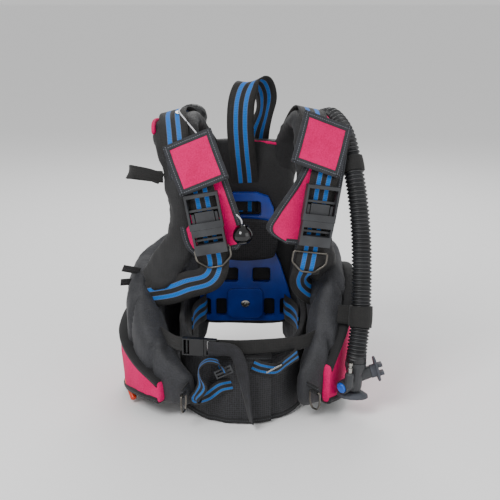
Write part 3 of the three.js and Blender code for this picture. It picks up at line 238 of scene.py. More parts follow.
def loft(name, path, section, strip=False):
    """Skins the section along the path. A strip's U is the distance from its middle; a tube's U runs round it."""
    rows, sides = len(path.place), len(section)
    grid = (
        path.place[:, None]
        + path.across[:, None] * (path.wide[:, None, None] * section[None, :, :1])
        + path.out[:, None] * (path.deep[:, None, None] * section[None, :, 1:])
    )
    if strip:
        u = path.wide[:, None] * section[None, :, 0]
        u_end = u[:, :1]
    else:
        ring = np.linalg.norm(np.roll(grid, -1, 1) - grid, axis=2).mean(0)
        total = np.concatenate([[0], np.cumsum(ring)])
        u = np.repeat(total[None, :-1], rows, 0)
        u_end = np.full((rows, 1), total[-1])
    u = np.concatenate([u, u_end], 1)
    length = np.append(path.length, path.length[-1] + np.linalg.norm(path.place[0] - path.place[-1]))
    faces, uv = [], []
    last = rows if path.closed else rows - 1
    for r in range(last):
        up = (r + 1) % rows
        for s in range(sides):
            n = (s + 1) % sides
            faces.append((r * sides + s, r * sides + n, up * sides + n, up * sides + s))
            uv += [(u[r, s], length[r]), (u[r, s + 1], length[r])]
            uv += [(u[up, s + 1], length[r + 1]), (u[up, s], length[r + 1])]
    if not path.closed:
        for r, order in ((0, range(sides - 1, -1, -1)), (rows - 1, range(sides))):
            faces.append(tuple(r * sides + s for s in order))
            uv += [(u[r, s], length[r]) for s in order]
    obj = new_object(name, grid.reshape(-1, 3), faces, uv)
    clean = bmesh.new()
    clean.from_mesh(obj.data)
    bmesh.ops.recalc_face_normals(clean, faces=clean.faces)
    clean.to_mesh(obj.data)
    clean.free()
    return obj


# %% [markdown]
# Each finished piece rides on a body of the frame, takes a finish and, if it stands for a plain CAD solid,
# hides it. One function does all of that, so no piece is forgotten.


# %% Fit a piece to the frame
def fit(obj, body, finish, slot, *nodes):
    if body:
        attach(obj, body)
    if nodes:
        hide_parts(*nodes)
    if finish is not None:
        obj.data.materials.clear()
        obj.data.materials.append(finish)
    return obj


# %% [markdown]
# Materials are made of nodes. One small function adds a node with its settings and links. Colours are given
# as the hex values of a paint chart and turned to linear light once.


# %% Node helpers
def colour(code):
    """An sRGB hex colour as linear red, green, blue and full alpha."""
    parts = [int(code[k : k + 2], 16) / 255 for k in (0, 2, 4)]
    return tuple(p / 12.92 if p <= 0.04045 else ((p + 0.055) / 1.055) ** 2.4 for p in parts) + (1.0,)


def node(material, kind, links=None, **settings):
    """Adds a node. Settings are properties or inputs, by name or as i1, i2. Links feed inputs from outputs."""
    made = material.node_tree.nodes.new("ShaderNode" + kind)
    for name, value in settings.items():
        if hasattr(made, name):
            setattr(made, name, value)
        else:
            numbered = name[0] == "i" and name[1:].isdigit()
            made.inputs[int(name[1:]) if numbered else name.replace("_", " ")].default_value = value
    for name, output in (links or {}).items():
        material.node_tree.links.new(output, made.inputs[name])
    return made


def new_material(name, **shader):
    """A material whose shader's plain sockets are set by name."""
    material = bpy.data.materials.new(name)
    material.use_nodes = True
    surface = material.node_tree.nodes["Principled BSDF"]
    for socket, value in shader.items():
        surface.inputs[socket.replace("_", " ")].default_value = value
    return material, surface


def join_to(material, output, surface, socket):
    material.node_tree.links.new(output, surface.inputs[socket])


def ramp(material, factor, low, high):
    """A colour ramp between two (position, hex) stops."""
    made = node(material, "ValToRGB", {"Fac": factor})
    bar = made.color_ramp
    for element, (position, code) in zip(bar.elements, (low, high)):
        element.position, element.color = position, colour(code)
    return made.outputs["Color"]


# %% [markdown]
# Coated nylon is the jacket's skin: a plain weave of thick 0.5 mm yarns with a waterproof film behind it.
# To the eye it is matt with a faint broken sparkle, and it goes a little paler where it is rubbed. The
# yarns are too fine to show at this distance, so the weave is drawn at 3 mm.

# %% Coated nylon
WEAVE = 3.14e-3  # drawn about six times as coarse as the real yarn
WAVE = 0.314  # a wave texture's scale times its period, in metres


def coated_nylon(name, dark, light, roughness, sheen):
    material, surface = new_material(name, Roughness=roughness, IOR=1.5, Sheen_Weight=sheen, Sheen_Roughness=0.5)
    place = node(material, "TexCoord").outputs["Object"]
    yarn = dict(Scale=WAVE / WEAVE, Distortion=1.2, Detail=1.0)
    warp = node(material, "TexWave", {"Vector": place}, bands_direction="Z", **yarn).outputs["Fac"]
    weft = node(material, "TexWave", {"Vector": place}, bands_direction="X", **yarn).outputs["Fac"]
    weave = node(material, "Math", {0: warp, 1: weft}, operation="ADD").outputs[0]
    dust = node(material, "TexNoise", {"Vector": place}, Scale=14.0, Detail=6.0, Roughness=0.65).outputs["Fac"]
    grain = node(material, "TexNoise", {"Vector": place}, Scale=420.0, Detail=3.0).outputs["Fac"]
    mixed = node(material, "Math", {0: dust, 1: grain}, operation="ADD").outputs[0]
    half = node(material, "Math", {0: mixed}, operation="MULTIPLY", i1=0.5).outputs[0]
    join_to(material, ramp(material, half, (0.38, dark), (0.62, light)), surface, "Base Color")
    height = node(material, "Math", {0: weave, 1: grain}, operation="ADD").outputs[0]
    bump = node(material, "Bump", {"Height": height}, Strength=0.28, Distance=0.0004)
    join_to(material, bump.outputs["Normal"], surface, "Normal")
    return material


WING_NYLON = coated_nylon("wing_nylon_charcoal", "17181B", "2E2F34", 0.68, 0.06)
BODY_NYLON = coated_nylon("body_nylon_black", "0B0B0C", "1A1A1C", 0.7, 0.05)
PINK_NYLON = coated_nylon("panel_nylon_pink", "C00052", "DC0066", 0.7, 0.0)
# the pink dye is matt, so it throws back little white
PINK_NYLON.node_tree.nodes["Principled BSDF"].inputs["Specular IOR Level"].default_value = 0.12

# %% [markdown]
# Harness webbing is woven polyester, 50 mm wide. Its ribs are drawn every 3 mm, about twice as coarse as
# real ones, and two blue stripes with grey edges are woven in. The strip's UVs hold the distance from its
# middle, so the stripes are a function of that distance alone.


# %% Striped and plain webbing
RIB = 3e-3
YARN = 4.8e-3
STRIPE_EDGE = 0.9e-3
STITCH = 4e-3


def webbing(name, ground, stripe=None, edge=None, stripe_at=0.0, stripe_half=0.0, thread=None):
    material, surface = new_material(name, Roughness=0.8, IOR=1.45, Sheen_Weight=0.05, Sheen_Roughness=0.6)
    place = node(material, "UVMap", uv_map="flat").outputs[0]
    split = node(material, "SeparateXYZ", {"Vector": place})
    ribs = node(
        material, "TexWave", {"Vector": place}, bands_direction="Y", Scale=WAVE / RIB, Distortion=0.4
    ).outputs["Fac"]
    cross = node(
        material, "TexWave", {"Vector": place}, bands_direction="X", Scale=WAVE / YARN, Distortion=0.6
    ).outputs["Fac"]
    worn = node(material, "TexNoise", {"Vector": place}, Scale=60.0, Detail=5.0).outputs["Fac"]
    tone = ramp(material, worn, (0.3, ground[0]), (0.75, ground[1]))
    if stripe:
        off = node(material, "Math", {0: split.outputs["X"]}, operation="ABSOLUTE").outputs[0]
        off = node(material, "Math", {0: off}, operation="SUBTRACT", i1=stripe_at).outputs[0]
        off = node(material, "Math", {0: off}, operation="ABSOLUTE").outputs[0]
        for half, code in ((stripe_half + STRIPE_EDGE, edge), (stripe_half, stripe)):
            inside = node(material, "Math", {0: off}, operation="LESS_THAN", i1=half).outputs[0]
            mix = node(material, "MixRGB", {"Fac": inside, "Color1": tone}, Color2=colour(code))
            tone = mix.outputs["Color"]
    if thread:
        # one row of 4 mm stitches along the middle
        side = node(material, "Math", {0: split.outputs["X"]}, operation="ABSOLUTE").outputs[0]
        near = node(material, "Math", {0: side}, operation="LESS_THAN", i1=0.0006).outputs[0]
        beat = node(material, "Math", {0: split.outputs["Y"]}, operation="MULTIPLY", i1=1 / STITCH).outputs[0]
        beat = node(material, "Math", {0: beat}, operation="FRACT").outputs[0]
        dash = node(material, "Math", {0: beat}, operation="LESS_THAN", i1=0.65).outputs[0]
        sewn = node(material, "Math", {0: near, 1: dash}, operation="MULTIPLY").outputs[0]
        tone = node(material, "MixRGB", {"Fac": sewn, "Color1": tone}, Color2=colour(thread)).outputs["Color"]
    shade = node(
        material, "MixRGB", {"Color1": tone, "Fac": ribs}, blend_type="MULTIPLY", Color2=(0.72, 0.72, 0.72, 1)
    )
    join_to(material, shade.outputs["Color"], surface, "Base Color")
    height = node(material, "Math", {0: ribs, 1: cross}, operation="ADD").outputs[0]
    bump = node(material, "Bump", {"Height": height}, Strength=0.5, Distance=0.0005)
    join_to(material, bump.outputs["Normal"], surface, "Normal")
    return material


HARNESS = webbing("harness_webbing_striped", ("100F0F", "1E1C1B"), "0068C0", "5A6068", 0.0085, 0.0036)
SLIM_HARNESS = webbing("adjuster_webbing_striped", ("100F0F", "1E1C1B"), "0060AC", "464A50", 0.0055, 0.002)
PLAIN_WEB = webbing("belt_webbing_black", ("0C0C0C", "191817"))
TAIL_WEB = webbing("tail_webbing_grey", ("121215", "24242A"))
BINDING = webbing("edge_binding_grey", ("1C1D21", "303238"), thread="62656C")
BLACK_BINDING = webbing("edge_binding_black", ("0A0A0B", "161619"), thread="3A3C40")

# %% [markdown]
# Spacer mesh covers the cummerbund and the back pad: a knitted fabric with a hole every 4 mm. The holes
# are painted near black, as painted shade inside them, and read as a fine dark grid on a slightly shiny ground.

# %% Spacer mesh
MESH_PITCH = 4e-3
MESH_FABRIC, mesh_surface = new_material(
    "spacer_mesh_black", Roughness=0.65, IOR=1.45, Sheen_Weight=0.05, Sheen_Roughness=0.5
)
mesh_place = node(MESH_FABRIC, "UVMap", uv_map="flat").outputs[0]
mesh_cells = node(MESH_FABRIC, "TexVoronoi", {"Vector": mesh_place}, Scale=1 / MESH_PITCH, Randomness=0.25)
# near black at each cell's middle: painted shade in the mesh's holes
mesh_tone_with_hole_shade = ramp(MESH_FABRIC, mesh_cells.outputs["Distance"], (0.2, "020202"), (0.55, "26262A"))
join_to(MESH_FABRIC, mesh_tone_with_hole_shade, mesh_surface, "Base Color")
mesh_bump = node(MESH_FABRIC, "Bump", {"Height": mesh_cells.outputs["Distance"]}, Strength=0.7, Distance=0.0008)
join_to(MESH_FABRIC, mesh_bump.outputs["Normal"], mesh_surface, "Normal")

# %% [markdown]
# The hard parts are moulded plastics, rubber and stainless steel. Mouldings have a fine spark-eroded grain
# and slightly softened edges; a bevel node catches the light along the CAD's sharp edges.


# %% Mouldings, rubber and metal
def moulded(name, dark, light, roughness, grain=900.0, depth=0.00012, edge=0.0008, **more):
    material, surface = new_material(name, Roughness=roughness, **more)
    place = node(material, "TexCoord").outputs["Object"]
    mottle = node(material, "TexNoise", {"Vector": place}, Scale=30.0, Detail=5.0).outputs["Fac"]
    join_to(material, ramp(material, mottle, (0.35, dark), (0.7, light)), surface, "Base Color")
    fine = node(material, "TexNoise", {"Vector": place}, Scale=grain, Detail=2.0).outputs["Fac"]
    soft = node(material, "Bevel", samples=4, Radius=edge)
    bump = node(material, "Bump", {"Height": fine, "Normal": soft.outputs["Normal"]}, Strength=0.4, Distance=depth)
    join_to(material, bump.outputs["Normal"], surface, "Normal")
    return material


BLUE_PLATE = moulded("polypropylene_blue", "042A86", "0A3CA8", 0.32, edge=0.003, IOR=1.49)
BLACK_ACETAL = moulded("acetal_black", "0C0C0E", "17181A", 0.4, IOR=1.48)
GREY_ACETAL = moulded("acetal_grey", "26272A", "36383B", 0.48, IOR=1.48)
GLOSS_BLACK = moulded("abs_gloss_black", "060607", "0C0C0E", 0.14, grain=60.0, depth=0.00004, IOR=1.54)
GREY_RUBBER = moulded("silicone_grey", "33363C", "474A52", 0.6, IOR=1.43)
HOSE_RUBBER = moulded("hose_rubber_black", "101113", "1F2023", 0.45, grain=240.0, IOR=1.52)
BLUE_BUTTON = moulded("abs_blue", "0650B4", "0E6AD6", 0.28, IOR=1.54)
STEEL = moulded("stainless_steel", "8E8C86", "C6C4BE", 0.26, grain=300.0, depth=0.00005, Metallic=1.0)
DARK_STEEL = moulded("stainless_ring_dark", "4E4B46", "74706A", 0.3, grain=300.0, depth=0.00005, Metallic=1.0)
ORANGE = moulded("polypropylene_orange", "C82A00", "E84008", 0.35, IOR=1.49)
WHITE_CORD = moulded("braided_cord_white", "B4B4BC", "DCDCE0", 0.6, grain=1200.0, depth=0.0004, IOR=1.5)
WHITE_TAG = moulded("tape_white", "B8B8B6", "D6D6D2", 0.7, IOR=1.5)

CAD_FINISHES = {
    "plate": BLUE_PLATE,
    "black_plastic": BLACK_ACETAL,
    "grey_plastic": GREY_ACETAL,
    "grey_rubber": GREY_RUBBER,
    "hose_rubber": HOSE_RUBBER,
    "blue_button": BLUE_BUTTON,
    "steel": STEEL,
    "orange": ORANGE,
}
SLOT_OF = {s["node"]: s["material_slot"] for s in frame["record"]["subparts"]}
for name, part in frame["nodes"].items():
    finish = CAD_FINISHES.get(SLOT_OF[name])
    if finish:
        part.data.materials.clear()
        part.data.materials.append(finish)

# %% [markdown]
# A padded cell is never smooth: its skin is held by seams and wrinkles between them. After each bag is
# lofted, it is crumpled with a little noise along its normals, and seams are pressed in along lines. The
# cloth simulation that puffs the bags up runs before the seams, because remeshing would erase them.

# %% Crumple, seam and puff
VOXEL = 0.0055
PRESSURE = 4.0
FRAMES = 20
PUCKER_PITCH = 0.011


def vertices_of(obj):
    co = np.zeros(len(obj.data.vertices) * 3)
    obj.data.vertices.foreach_get("co", co)
    return co.reshape(-1, 3)


def set_vertices(obj, co):
    obj.data.vertices.foreach_set("co", co.ravel())
    obj.data.update()


def normals_of(obj):
    return np.array([v.normal for v in obj.data.vertices])


def crumple(obj, amount, size, stretch=(1, 1, 1), seed=0):
    """Moves each point along its normal by smooth noise: amount and size in metres, stretch per axis."""
    co, normals = vertices_of(obj), normals_of(obj)
    offset = Vector((seed * 7.3, seed * 3.1, seed * 5.7))
    scale = np.array(stretch) / size
    lift = np.array([noise.fractal(Vector(p * scale) + offset, 0.9, 2.1, 3) for p in co])
    set_vertices(obj, co + normals * (amount * lift)[:, None])


def press_seam(obj, line, half_width, depth, pucker=0.0):
    """A sewn line: points near it sink along their normals, with small puckers along it."""
    co, normals = vertices_of(obj), normals_of(obj)
    line = np.array(line)
    gap = np.full(len(co), 1.0)
    where = np.zeros(len(co))
    travelled = 0.0
    for a, b in zip(line[:-1], line[1:]):
        d = b - a
        t = np.clip(((co - a) @ d) / max(d @ d, 1e-12), 0, 1)
        distance = np.linalg.norm(co - (a + t[:, None] * d), axis=1)
        closer = distance < gap
        gap = np.where(closer, distance, gap)
        where = np.where(closer, travelled + t * np.linalg.norm(d), where)
        travelled += np.linalg.norm(d)
    sink = depth * np.exp(-((gap / half_width) ** 2)) * (1 + pucker * np.sin(where * 2 * np.pi / PUCKER_PITCH))
    set_vertices(obj, co - normals * sink[:, None])


def puff(obj, cap):
    """Remeshes a bag evenly and lets cloth under pressure swell it, no point further than the cap."""
    bpy.ops.object.select_all(action="DESELECT")
    bpy.context.view_layer.objects.active = obj
    obj.select_set(True)
    remesh = obj.modifiers.new("even", "REMESH")
    remesh.mode = "VOXEL"
    remesh.voxel_size = VOXEL
    bpy.ops.object.modifier_apply(modifier="even")
    start = vertices_of(obj)
    cloth = obj.modifiers.new("cloth", "CLOTH")
    cloth.settings.use_pressure = True
    cloth.settings.uniform_pressure_force = PRESSURE
    cloth.settings.effector_weights.gravity = 0
    cloth.settings.tension_stiffness = cloth.settings.compression_stiffness = 25
    cloth.point_cache.frame_start, cloth.point_cache.frame_end = 1, FRAMES
    for step in range(1, FRAMES + 1):
        bpy.context.scene.frame_set(step)
    swollen = obj.evaluated_get(bpy.context.evaluated_depsgraph_get())
    end = np.zeros(len(start) * 3)
    swollen.data.vertices.foreach_get("co", end)
    obj.modifiers.remove(cloth)
    move = end.reshape(-1, 3) - start
    far = np.linalg.norm(move, axis=1, keepdims=True)
    set_vertices(obj, start + move * np.minimum(1, cap / np.maximum(far, 1e-9)))
    bpy.context.scene.frame_set(1)
    for polygon in obj.data.polygons:
        polygon.use_smooth = True
    print(obj.name, "swelled by at most", round(float(np.minimum(far, cap).max()) * 1000, 1), "mm")
    return obj


# %% [markdown]
# The back cell is the flat part of the bladder, between the plate and the cylinder. From the front only its
# neck shows, black, with a pink edge.

# %% Back cell and its neck edge
BACK = [
    [0, 98, 106, X, 82, 18],
    [0, 98, 146, X, 96, 21],
    [0, 98, 250, X, 98, 21],
    [0, 98, 350, X, 96, 21],
    [0, 98, 420, X, 88, 20],
    [0, 100, 462, X, 70, 16],
]
back_path = Path(BACK, 60).rounded(0.006)
back = loft("back_air_cell", back_path, oval(56, 5))
crumple(back, 0.0022, 0.06, (1, 1, 0.6), 1)
fit(back, "vest", BODY_NYLON, "shell", "back_cell")

neck_rows = [[x, 93 - 0.0006 * x * x, 464 - 0.0011 * x * x, Y, 7.5, 3.2] for x in np.linspace(-84, 84, 15)]
neck = loft("neck_edge_pink", Path(neck_rows, 60).rounded(0.002), oval(14, 2.6))
crumple(neck, 0.0008, 0.02, seed=2)
fit(neck, "vest", PINK_NYLON, "pink")

# %% [markdown]
# The wings are the two big bags that wrap round the wearer's sides. Each is a tall oval section carried
# round a path in plan, upright all the way, so its top edge falls from the back to the buckle. Their ridges
# are lower on the wearer's right.

# %% Wings
WINGS = {
    "right": (-1, [
        [-78, 98, 60, 300, 16], [-140, 88, 10, 290, 28], [-178, 52, 0, 264, 34], [-188, 6, 0, 246, 34],
        [-181, -38, 8, 216, 34], [-160, -82, 16, 170, 32], [-130, -116, 20, 128, 27], [-96, -140, 24, 92, 17],
    ]),
    "left": (1, [
        [78, 98, 60, 304, 16], [118, 86, 10, 300, 26], [142, 52, 0, 292, 34], [149, 8, 0, 284, 34],
        [149, -36, 6, 256, 34], [140, -78, 12, 204, 31], [122, -112, 18, 150, 26], [99, -138, 22, 104, 17],
    ]),
}
WING_LEAN = 0.06
SLACK = 3.5  # the bags start this much slimmer, and swell back


def wing_rows(side, path, less=0.0):
    up = (side * WING_LEAN, 0, 1)
    return [
        [x, y, (low + high) / 2, up, (high - low) / 2 - less, deep - less] for x, y, low, high, deep in path
    ]


WING_SEAMS = {
    # share of the way along the wing, then heights as shares of its half height
    "right": [[(0.60, 0.95), (0.615, 0.3), (0.60, -0.4), (0.62, -0.95)], [(0.80, 0.9), (0.79, 0.2), (0.81, -0.9)]],
    "left": [[(0.62, 0.95), (0.63, 0.2), (0.62, -0.95)], [(0.82, 0.9), (0.81, -0.2), (0.83, -0.95)]],
}
for name, (side, path) in WINGS.items():
    guide = Path(wing_rows(side, path, SLACK), 90, level=2).rounded(0.008)
    bag = loft(f"{name}_wing_bag", guide, oval(64, 2.6))
    puff(bag, 0.0045)
    crumple(bag, 0.0034, 0.06, (1, 1, 0.6), 3 + side)
    crumple(bag, 0.0013, 0.022, (1, 1, 0.4), 8 + side)
    full = Path(wing_rows(side, path), 90, level=2)
    for seam in WING_SEAMS[name]:
        for face in (1, -1):
            points = []
            for share, height in smooth(seam, 24):
                k = min(int(share * 89), 89)
                bulge = max(0.0, 1 - abs(height) ** 2.6) ** (1 / 2.6)
                points.append(full.on(height, face * bulge)[k])
            press_seam(bag, points, 0.0055, 0.0062, 0.3)
    fit(bag, "vest", WING_NYLON, "shell", f"{name}_wing")

# %% [markdown]
# The shoulders join the back cell to the front, and are softer and flatter than the wings.

# %% Shoulders
SHOULDERS = {
    "right": [
        [-66, 96, 392, X, 34, 17], [-82, 92, 446, X, 38, 20], [-106, 64, 494, (0.98, 0, 0.2), 40, 22],
        [-122, 18, 507, (0.97, 0, 0.26), 44, 22], [-120, -24, 486, (0.96, 0, 0.24), 44, 22],
        [-114, -48, 430, (0.97, -0.06, 0.2), 38, 22], [-106, -52, 360, (0.98, -0.1, 0.1), 33, 22],
        [-116, -44, 300, (0.9, -0.3, 0.1), 36, 24], [-140, -30, 252, (0.8, -0.5, 0.2), 38, 26],
        [-166, -14, 216, (0.7, -0.6, 0.3), 34, 24],
    ],
    "left": [
        [66, 96, 392, X, 34, 17], [82, 92, 446, X, 34, 20], [102, 62, 496, (0.98, 0, -0.14), 34, 22],
        [114, 18, 510, (0.97, 0, -0.2), 34, 22], [118, -24, 488, (0.97, 0.1, -0.16), 36, 22],
        [120, -46, 430, (0.94, 0.25, -0.1), 38, 22], [120, -50, 362, (0.94, 0.25, 0), 40, 22],
        [124, -42, 308, (0.9, 0.4, 0), 40, 24], [132, -24, 266, (0.85, 0.5, 0), 38, 26],
        [142, -10, 240, (0.8, 0.5, 0), 32, 24],
    ],
}
for name, rows in SHOULDERS.items():
    slim = [[*r[:4], r[4] - SLACK, r[5] - SLACK] for r in rows]
    guide = Path(slim, 90).rounded(0.006)
    bag = loft(f"{name}_shoulder_bag", guide, oval(56, 2.6))
    puff(bag, 0.0035)
    crumple(bag, 0.0040, 0.05, (0.7, 0.7, 1), 11 + len(name))
    crumple(bag, 0.0017, 0.02, seed=15 + len(name))
    fit(bag, "vest", BODY_NYLON, "shell", f"{name}_shoulder")

# %% [markdown]
# Flat pieces are strips: webbing, lapels, belts and bindings. A strip keeps its flat width in the UVs. A
# binding is a folded tape sewn round a panel's edge, so it is the panel's own edge line with a little more
# thickness.

# %% Strips and bindings


def strip(name, rows, finish, body, slot, *nodes, count=60, into=None, closed=False):
    path = Path(rows, count, closed=closed, into=into)
    obj = loft(name, path, flat_section(), strip=True)
    fit(obj, body, finish, slot, *nodes)
    return obj, path


BINDING_THICK = 0.0011


def edge_path(path, side, half, thicker=BINDING_THICK):
    """The path of a binding along one edge of a panel."""
    place = path.place + path.across * (side * (path.wide - half))[:, None]
    return path.part(place=place, wide=half + thicker, deep=path.deep + thicker)


def end_path(path, row, half, thicker=BINDING_THICK, count=20):
    """The path of a binding across a panel's end."""
    share = np.linspace(-1, 1, count)
    inward = half if row == 0 else -half
    place = path.place[row] + path.across[row] * (share * path.wide[row])[:, None] + path.along[row] * inward
    spread = lambda v: np.repeat(v[row][None], count, 0)
    along, across, out = spread(path.across), spread(path.along), spread(path.out)
    return path.part(
        place=place, along=along, across=across, out=out, wide=half + thicker, deep=path.deep[row] + thicker
    )


def bind(name, path, finish, body, slot, half=0.0045):
    made = []
    for k, side in enumerate((-1, 1)):
        made.append(loft(f"{name}_binding_{k}", edge_path(path, side, half), oval(16, 5), strip=True))
    for row in (0, -1):
        made.append(loft(f"{name}_end_{abs(row)}", end_path(path, row, half), oval(16, 5), strip=True))
    for obj in made:
        fit(obj, body, finish, slot)
    return made


# %% [markdown]
# The pad in front of the plate is a foam oval under spacer mesh. The band and the loop are what hold the
# cylinder behind the plate: the band lies round it, and the loop stands over its neck and doubles as a
# carrying handle.

# %% Back pad, tank band and loop
pad_rows = [[0, 55.2, z, X, half, 6.5] for z, half in ((250, 56), (281, 62), (312, 52))]
pad_path = Path(pad_rows, 30).rounded(0.01)
pad = loft("back_pad_foam", pad_path, oval(48, 5), strip=True)
crumple(pad, 0.0008, 0.03, seed=21)
fit(pad, "vest", MESH_FABRIC, "mesh", "back_pad")

BAND_RADIUS, CYLINDER_Y, BAND_Z = 94, 214, 210
half_plan = [(0, 80), (45, 80), (72, 85), (82, 108), (88, 142)]
for degrees in (0, 30, 60):
    angle = math.radians(degrees)
    half_plan.append((BAND_RADIUS * math.cos(angle), CYLINDER_Y + BAND_RADIUS * math.sin(angle)))
half_plan.append((0, CYLINDER_Y + BAND_RADIUS))
plan = half_plan + [(-x, y) for x, y in half_plan[-2:0:-1]]
band_rows = [[x, y, BAND_Z, Z, 22, 1] for x, y in plan]
strip("tank_band_webbing", band_rows, PLAIN_WEB, "vest", "webbing", "tank_band", count=192, closed=True)

LOOP = [
    [0, 77.7, 330, X], [0, 77.7, 362, X], [0, 77.7, 384, X],
    [-2, 71.7, 410, X], [-6, 61.7, 450, X], [-9, 61.7, 500, X],
    [-6, 69.7, 544, (0.98, -0.1, 0.2)], [6, 81.7, 572, (0.95, -0.1, 0.3)], [26, 97.7, 574, (0.95, -0.2, 0.2)],
    [38, 111.7, 550, (0.85, -0.5, -0.1)], [36, 119.7, 514, (0.6, -0.8, -0.1)], [24, 124.7, 474, (0.85, -0.5, 0)],
    [16, 127.7, 430, X],
]
WIDE_WEB = (25, 1)  # half sizes of 50 mm webbing
loop_rows = [[*r, *WIDE_WEB] for r in LOOP]
strip("carrying_loop_webbing", loop_rows, HARNESS, "vest", "webbing", "tank_loop", count=120)

# %% [markdown]
# Each front strap is built in its own leaning frame, whose middle is where the big buckle's two halves
# meet. The lapel is the bound pink panel behind the buckle. Harness webbing comes down over it into the
# socket, and the flap covers the join. Below the buckle the lower webbing carries the pull round to the back.


# %% Strap frames
def frame_at(middle, turn=0.0, lean=0.0):
    spin = Matrix.Rotation(math.radians(turn), 4, "Z") @ Matrix.Rotation(math.radians(lean), 4, "Y")
    return Matrix.Translation(middle) @ spin


def row_in(matrix, place, across, *sizes):
    """A row given in a strap's own frame, as a row of the drawing."""
    return [*(matrix @ Vector(place)), tuple(matrix.to_3x3() @ Vector(across)), *sizes]


def lapel_front(z):
    return 13.2 + 16 * (max(0, z - 50) / 90) ** 2 + max(0, -38 - z) / 8


STRAPS = {
    "right": dict(
        side=-1, into=frame_at((-67, -88, 347), -4, -10.5), inner=[44, 60, 58, 50, 42, 34],
        outer=[34, 46, 49, 50, 50, 49], drop=0, flap=(0, 106),
    ),
    "left": dict(
        side=1, into=frame_at((128, -86, 360), 12, 9), inner=[46, 82, 74, 46, 28, 22],
        outer=[26, 34, 36, 37, 38, 38], drop=22, flap=(-10, 122),
    ),
}
LAPEL_ROWS = [-58, -38, -8, 50, 100, 140]
LOWER = {
    "right": (
        [
            ((0, 11, -14), X), ((0, 11, -50), X), ((-2, 11.5, -82), (0.97, 0, -0.2)),
            ((-20, 15, -104), (0.7, 0, -0.7)),
        ],
        [
            [-104, -60, 226, (0.35, 0, -0.93)], [-134, -50, 212, (0.25, 0, -0.95)],
            [-176, -34, 200, (0.25, 0, -0.97)],
        ],
    ),
    "left": (
        [((0, 11, -14), X), ((0, 11, -64), X), ((-1, 12.4, -102), X)],
        [
            [103, -58, 238, (0.8, 0.5, 0.1)], [106, -42, 220, (0.5, 0.8, 0.3)], [120, -26, 204, (0.2, 0.6, 0.8)],
            [146, -10, 196, (0, 0.4, 0.9)],
        ],
    ),
}

# %% Lapels, flaps and harness webbing
FLAP = (45, 1.2)  # half width and half thickness
FLAP_LEAN = 12  # degrees past the strap's own lean
for name, strap in STRAPS.items():
    side, into = strap["side"], strap["into"]
    rows = [
        [-side * (inner - outer) / 2, lapel_front(z) + 4, z, X, (inner + outer) / 2, 4]
        for z, inner, outer in zip(LAPEL_ROWS, strap["inner"], strap["outer"])
    ]
    panel_path = Path(rows, 70, into=into, level=0)
    panel = loft(f"{name}_lapel_panel", panel_path, oval(48, 6), strip=True)
    crumple(panel, 0.0008, 0.03, seed=31 + side)
    fit(panel, "vest", PINK_NYLON, "pink", f"{name}_lapel")
    bind(f"{name}_lapel", panel_path, BINDING, "vest", "binding")

    aside, middle = strap["flap"]
    lean = math.radians(side * FLAP_LEAN)
    flap_rows = []
    for rise, stand in ((-44, 12), (-6, 8), (24, 5.5), (44, 4.6)):
        z = middle + rise * math.cos(lean)
        x = aside + rise * math.sin(lean)
        flap_rows.append([x, lapel_front(z) - stand, z, (math.cos(lean), 0, -math.sin(lean)), *FLAP])
    flap_path = Path(flap_rows, 40, into=into)
    flap = loft(f"{name}_flap_cloth", flap_path, flat_section(19), strip=True)
    crumple(flap, 0.0007, 0.03, seed=41 + side)
    fit(flap, "vest", PINK_NYLON, "pink", f"{name}_lapel_flap")
    tapes = bind(f"{name}_flap", flap_path, BINDING, "vest", "binding")

    upper = [[0, 6.3, z, X, *WIDE_WEB] for z in (6, 50)]
    upper += [[side * x, lapel_front(z) - 0.8, z, X, *WIDE_WEB] for x, z in ((5, 84), (12, 112), (20, 138))]
    strip(f"{name}_upper_harness", upper, HARNESS, "vest", "webbing", f"{name}_shoulder_webbing", into=into)

    local, rest = LOWER[name]
    rows = [row_in(into, place, across, *WIDE_WEB) for place, across in local] + [[*r, *WIDE_WEB] for r in rest]
    stands_for = f"{name}_lower_webbing"
    lower, lower_path = strip(f"{name}_lower_harness", rows, HARNESS, None, "webbing", stands_for, count=110)
    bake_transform(lower)
    print(name, "lower webbing", round(float(lower_path.length[-1]) * 1000), "mm")

# %% [markdown]
# Over the shoulders the harness webbing is sewn flat on the padding, so it follows the shoulder's own outer
# face.

# %% Webbing over the shoulders
for name, rows in SHOULDERS.items():
    guide = Path(rows, 90)
    lifted = guide.place - guide.out * (guide.deep + 0.0016)[:, None]
    sewn = slice(16, 46)
    over = guide.part(sewn, place=lifted[sewn], wide=0.025, deep=0.001)
    fit(loft(f"{name}_yoke_harness", over, flat_section(), strip=True), "vest", HARNESS, "webbing")

# %% [markdown]
# Pink piping shows along the outer edge of each shoulder, and the hip webbing comes forward through the
# plate's side slots.

# %% Shoulder piping and hip webbing
for name, rows in SHOULDERS.items():
    guide = Path(rows, 90)
    outer = -1 if name == "right" else 1
    shown = slice(12, 38)
    piping = guide.part(shown, place=guide.on(outer * 0.86, -0.6)[shown], wide=0.004, deep=0.005).rounded(0.003)
    fit(loft(f"{name}_shoulder_piping", piping, oval(16)), "vest", PINK_NYLON, "pink")
HIP = [(75, 72, 145), (79, 50, 145), (89, 34, 143), (97, 10, 140), (99, -14, 137)]
for name, side in (("right", -1), ("left", 1)):
    hip = [[side * x, y, z, Z, *WIDE_WEB] for x, y, z in HIP]
    strip(f"{name}_hip_webbing", hip, HARNESS, "vest", "webbing", count=40)

# %% [markdown]
# The pockets are shallow bags on the outside of the wings, pink with black bound edges. They follow the
# wing's path moved outwards by its depth.

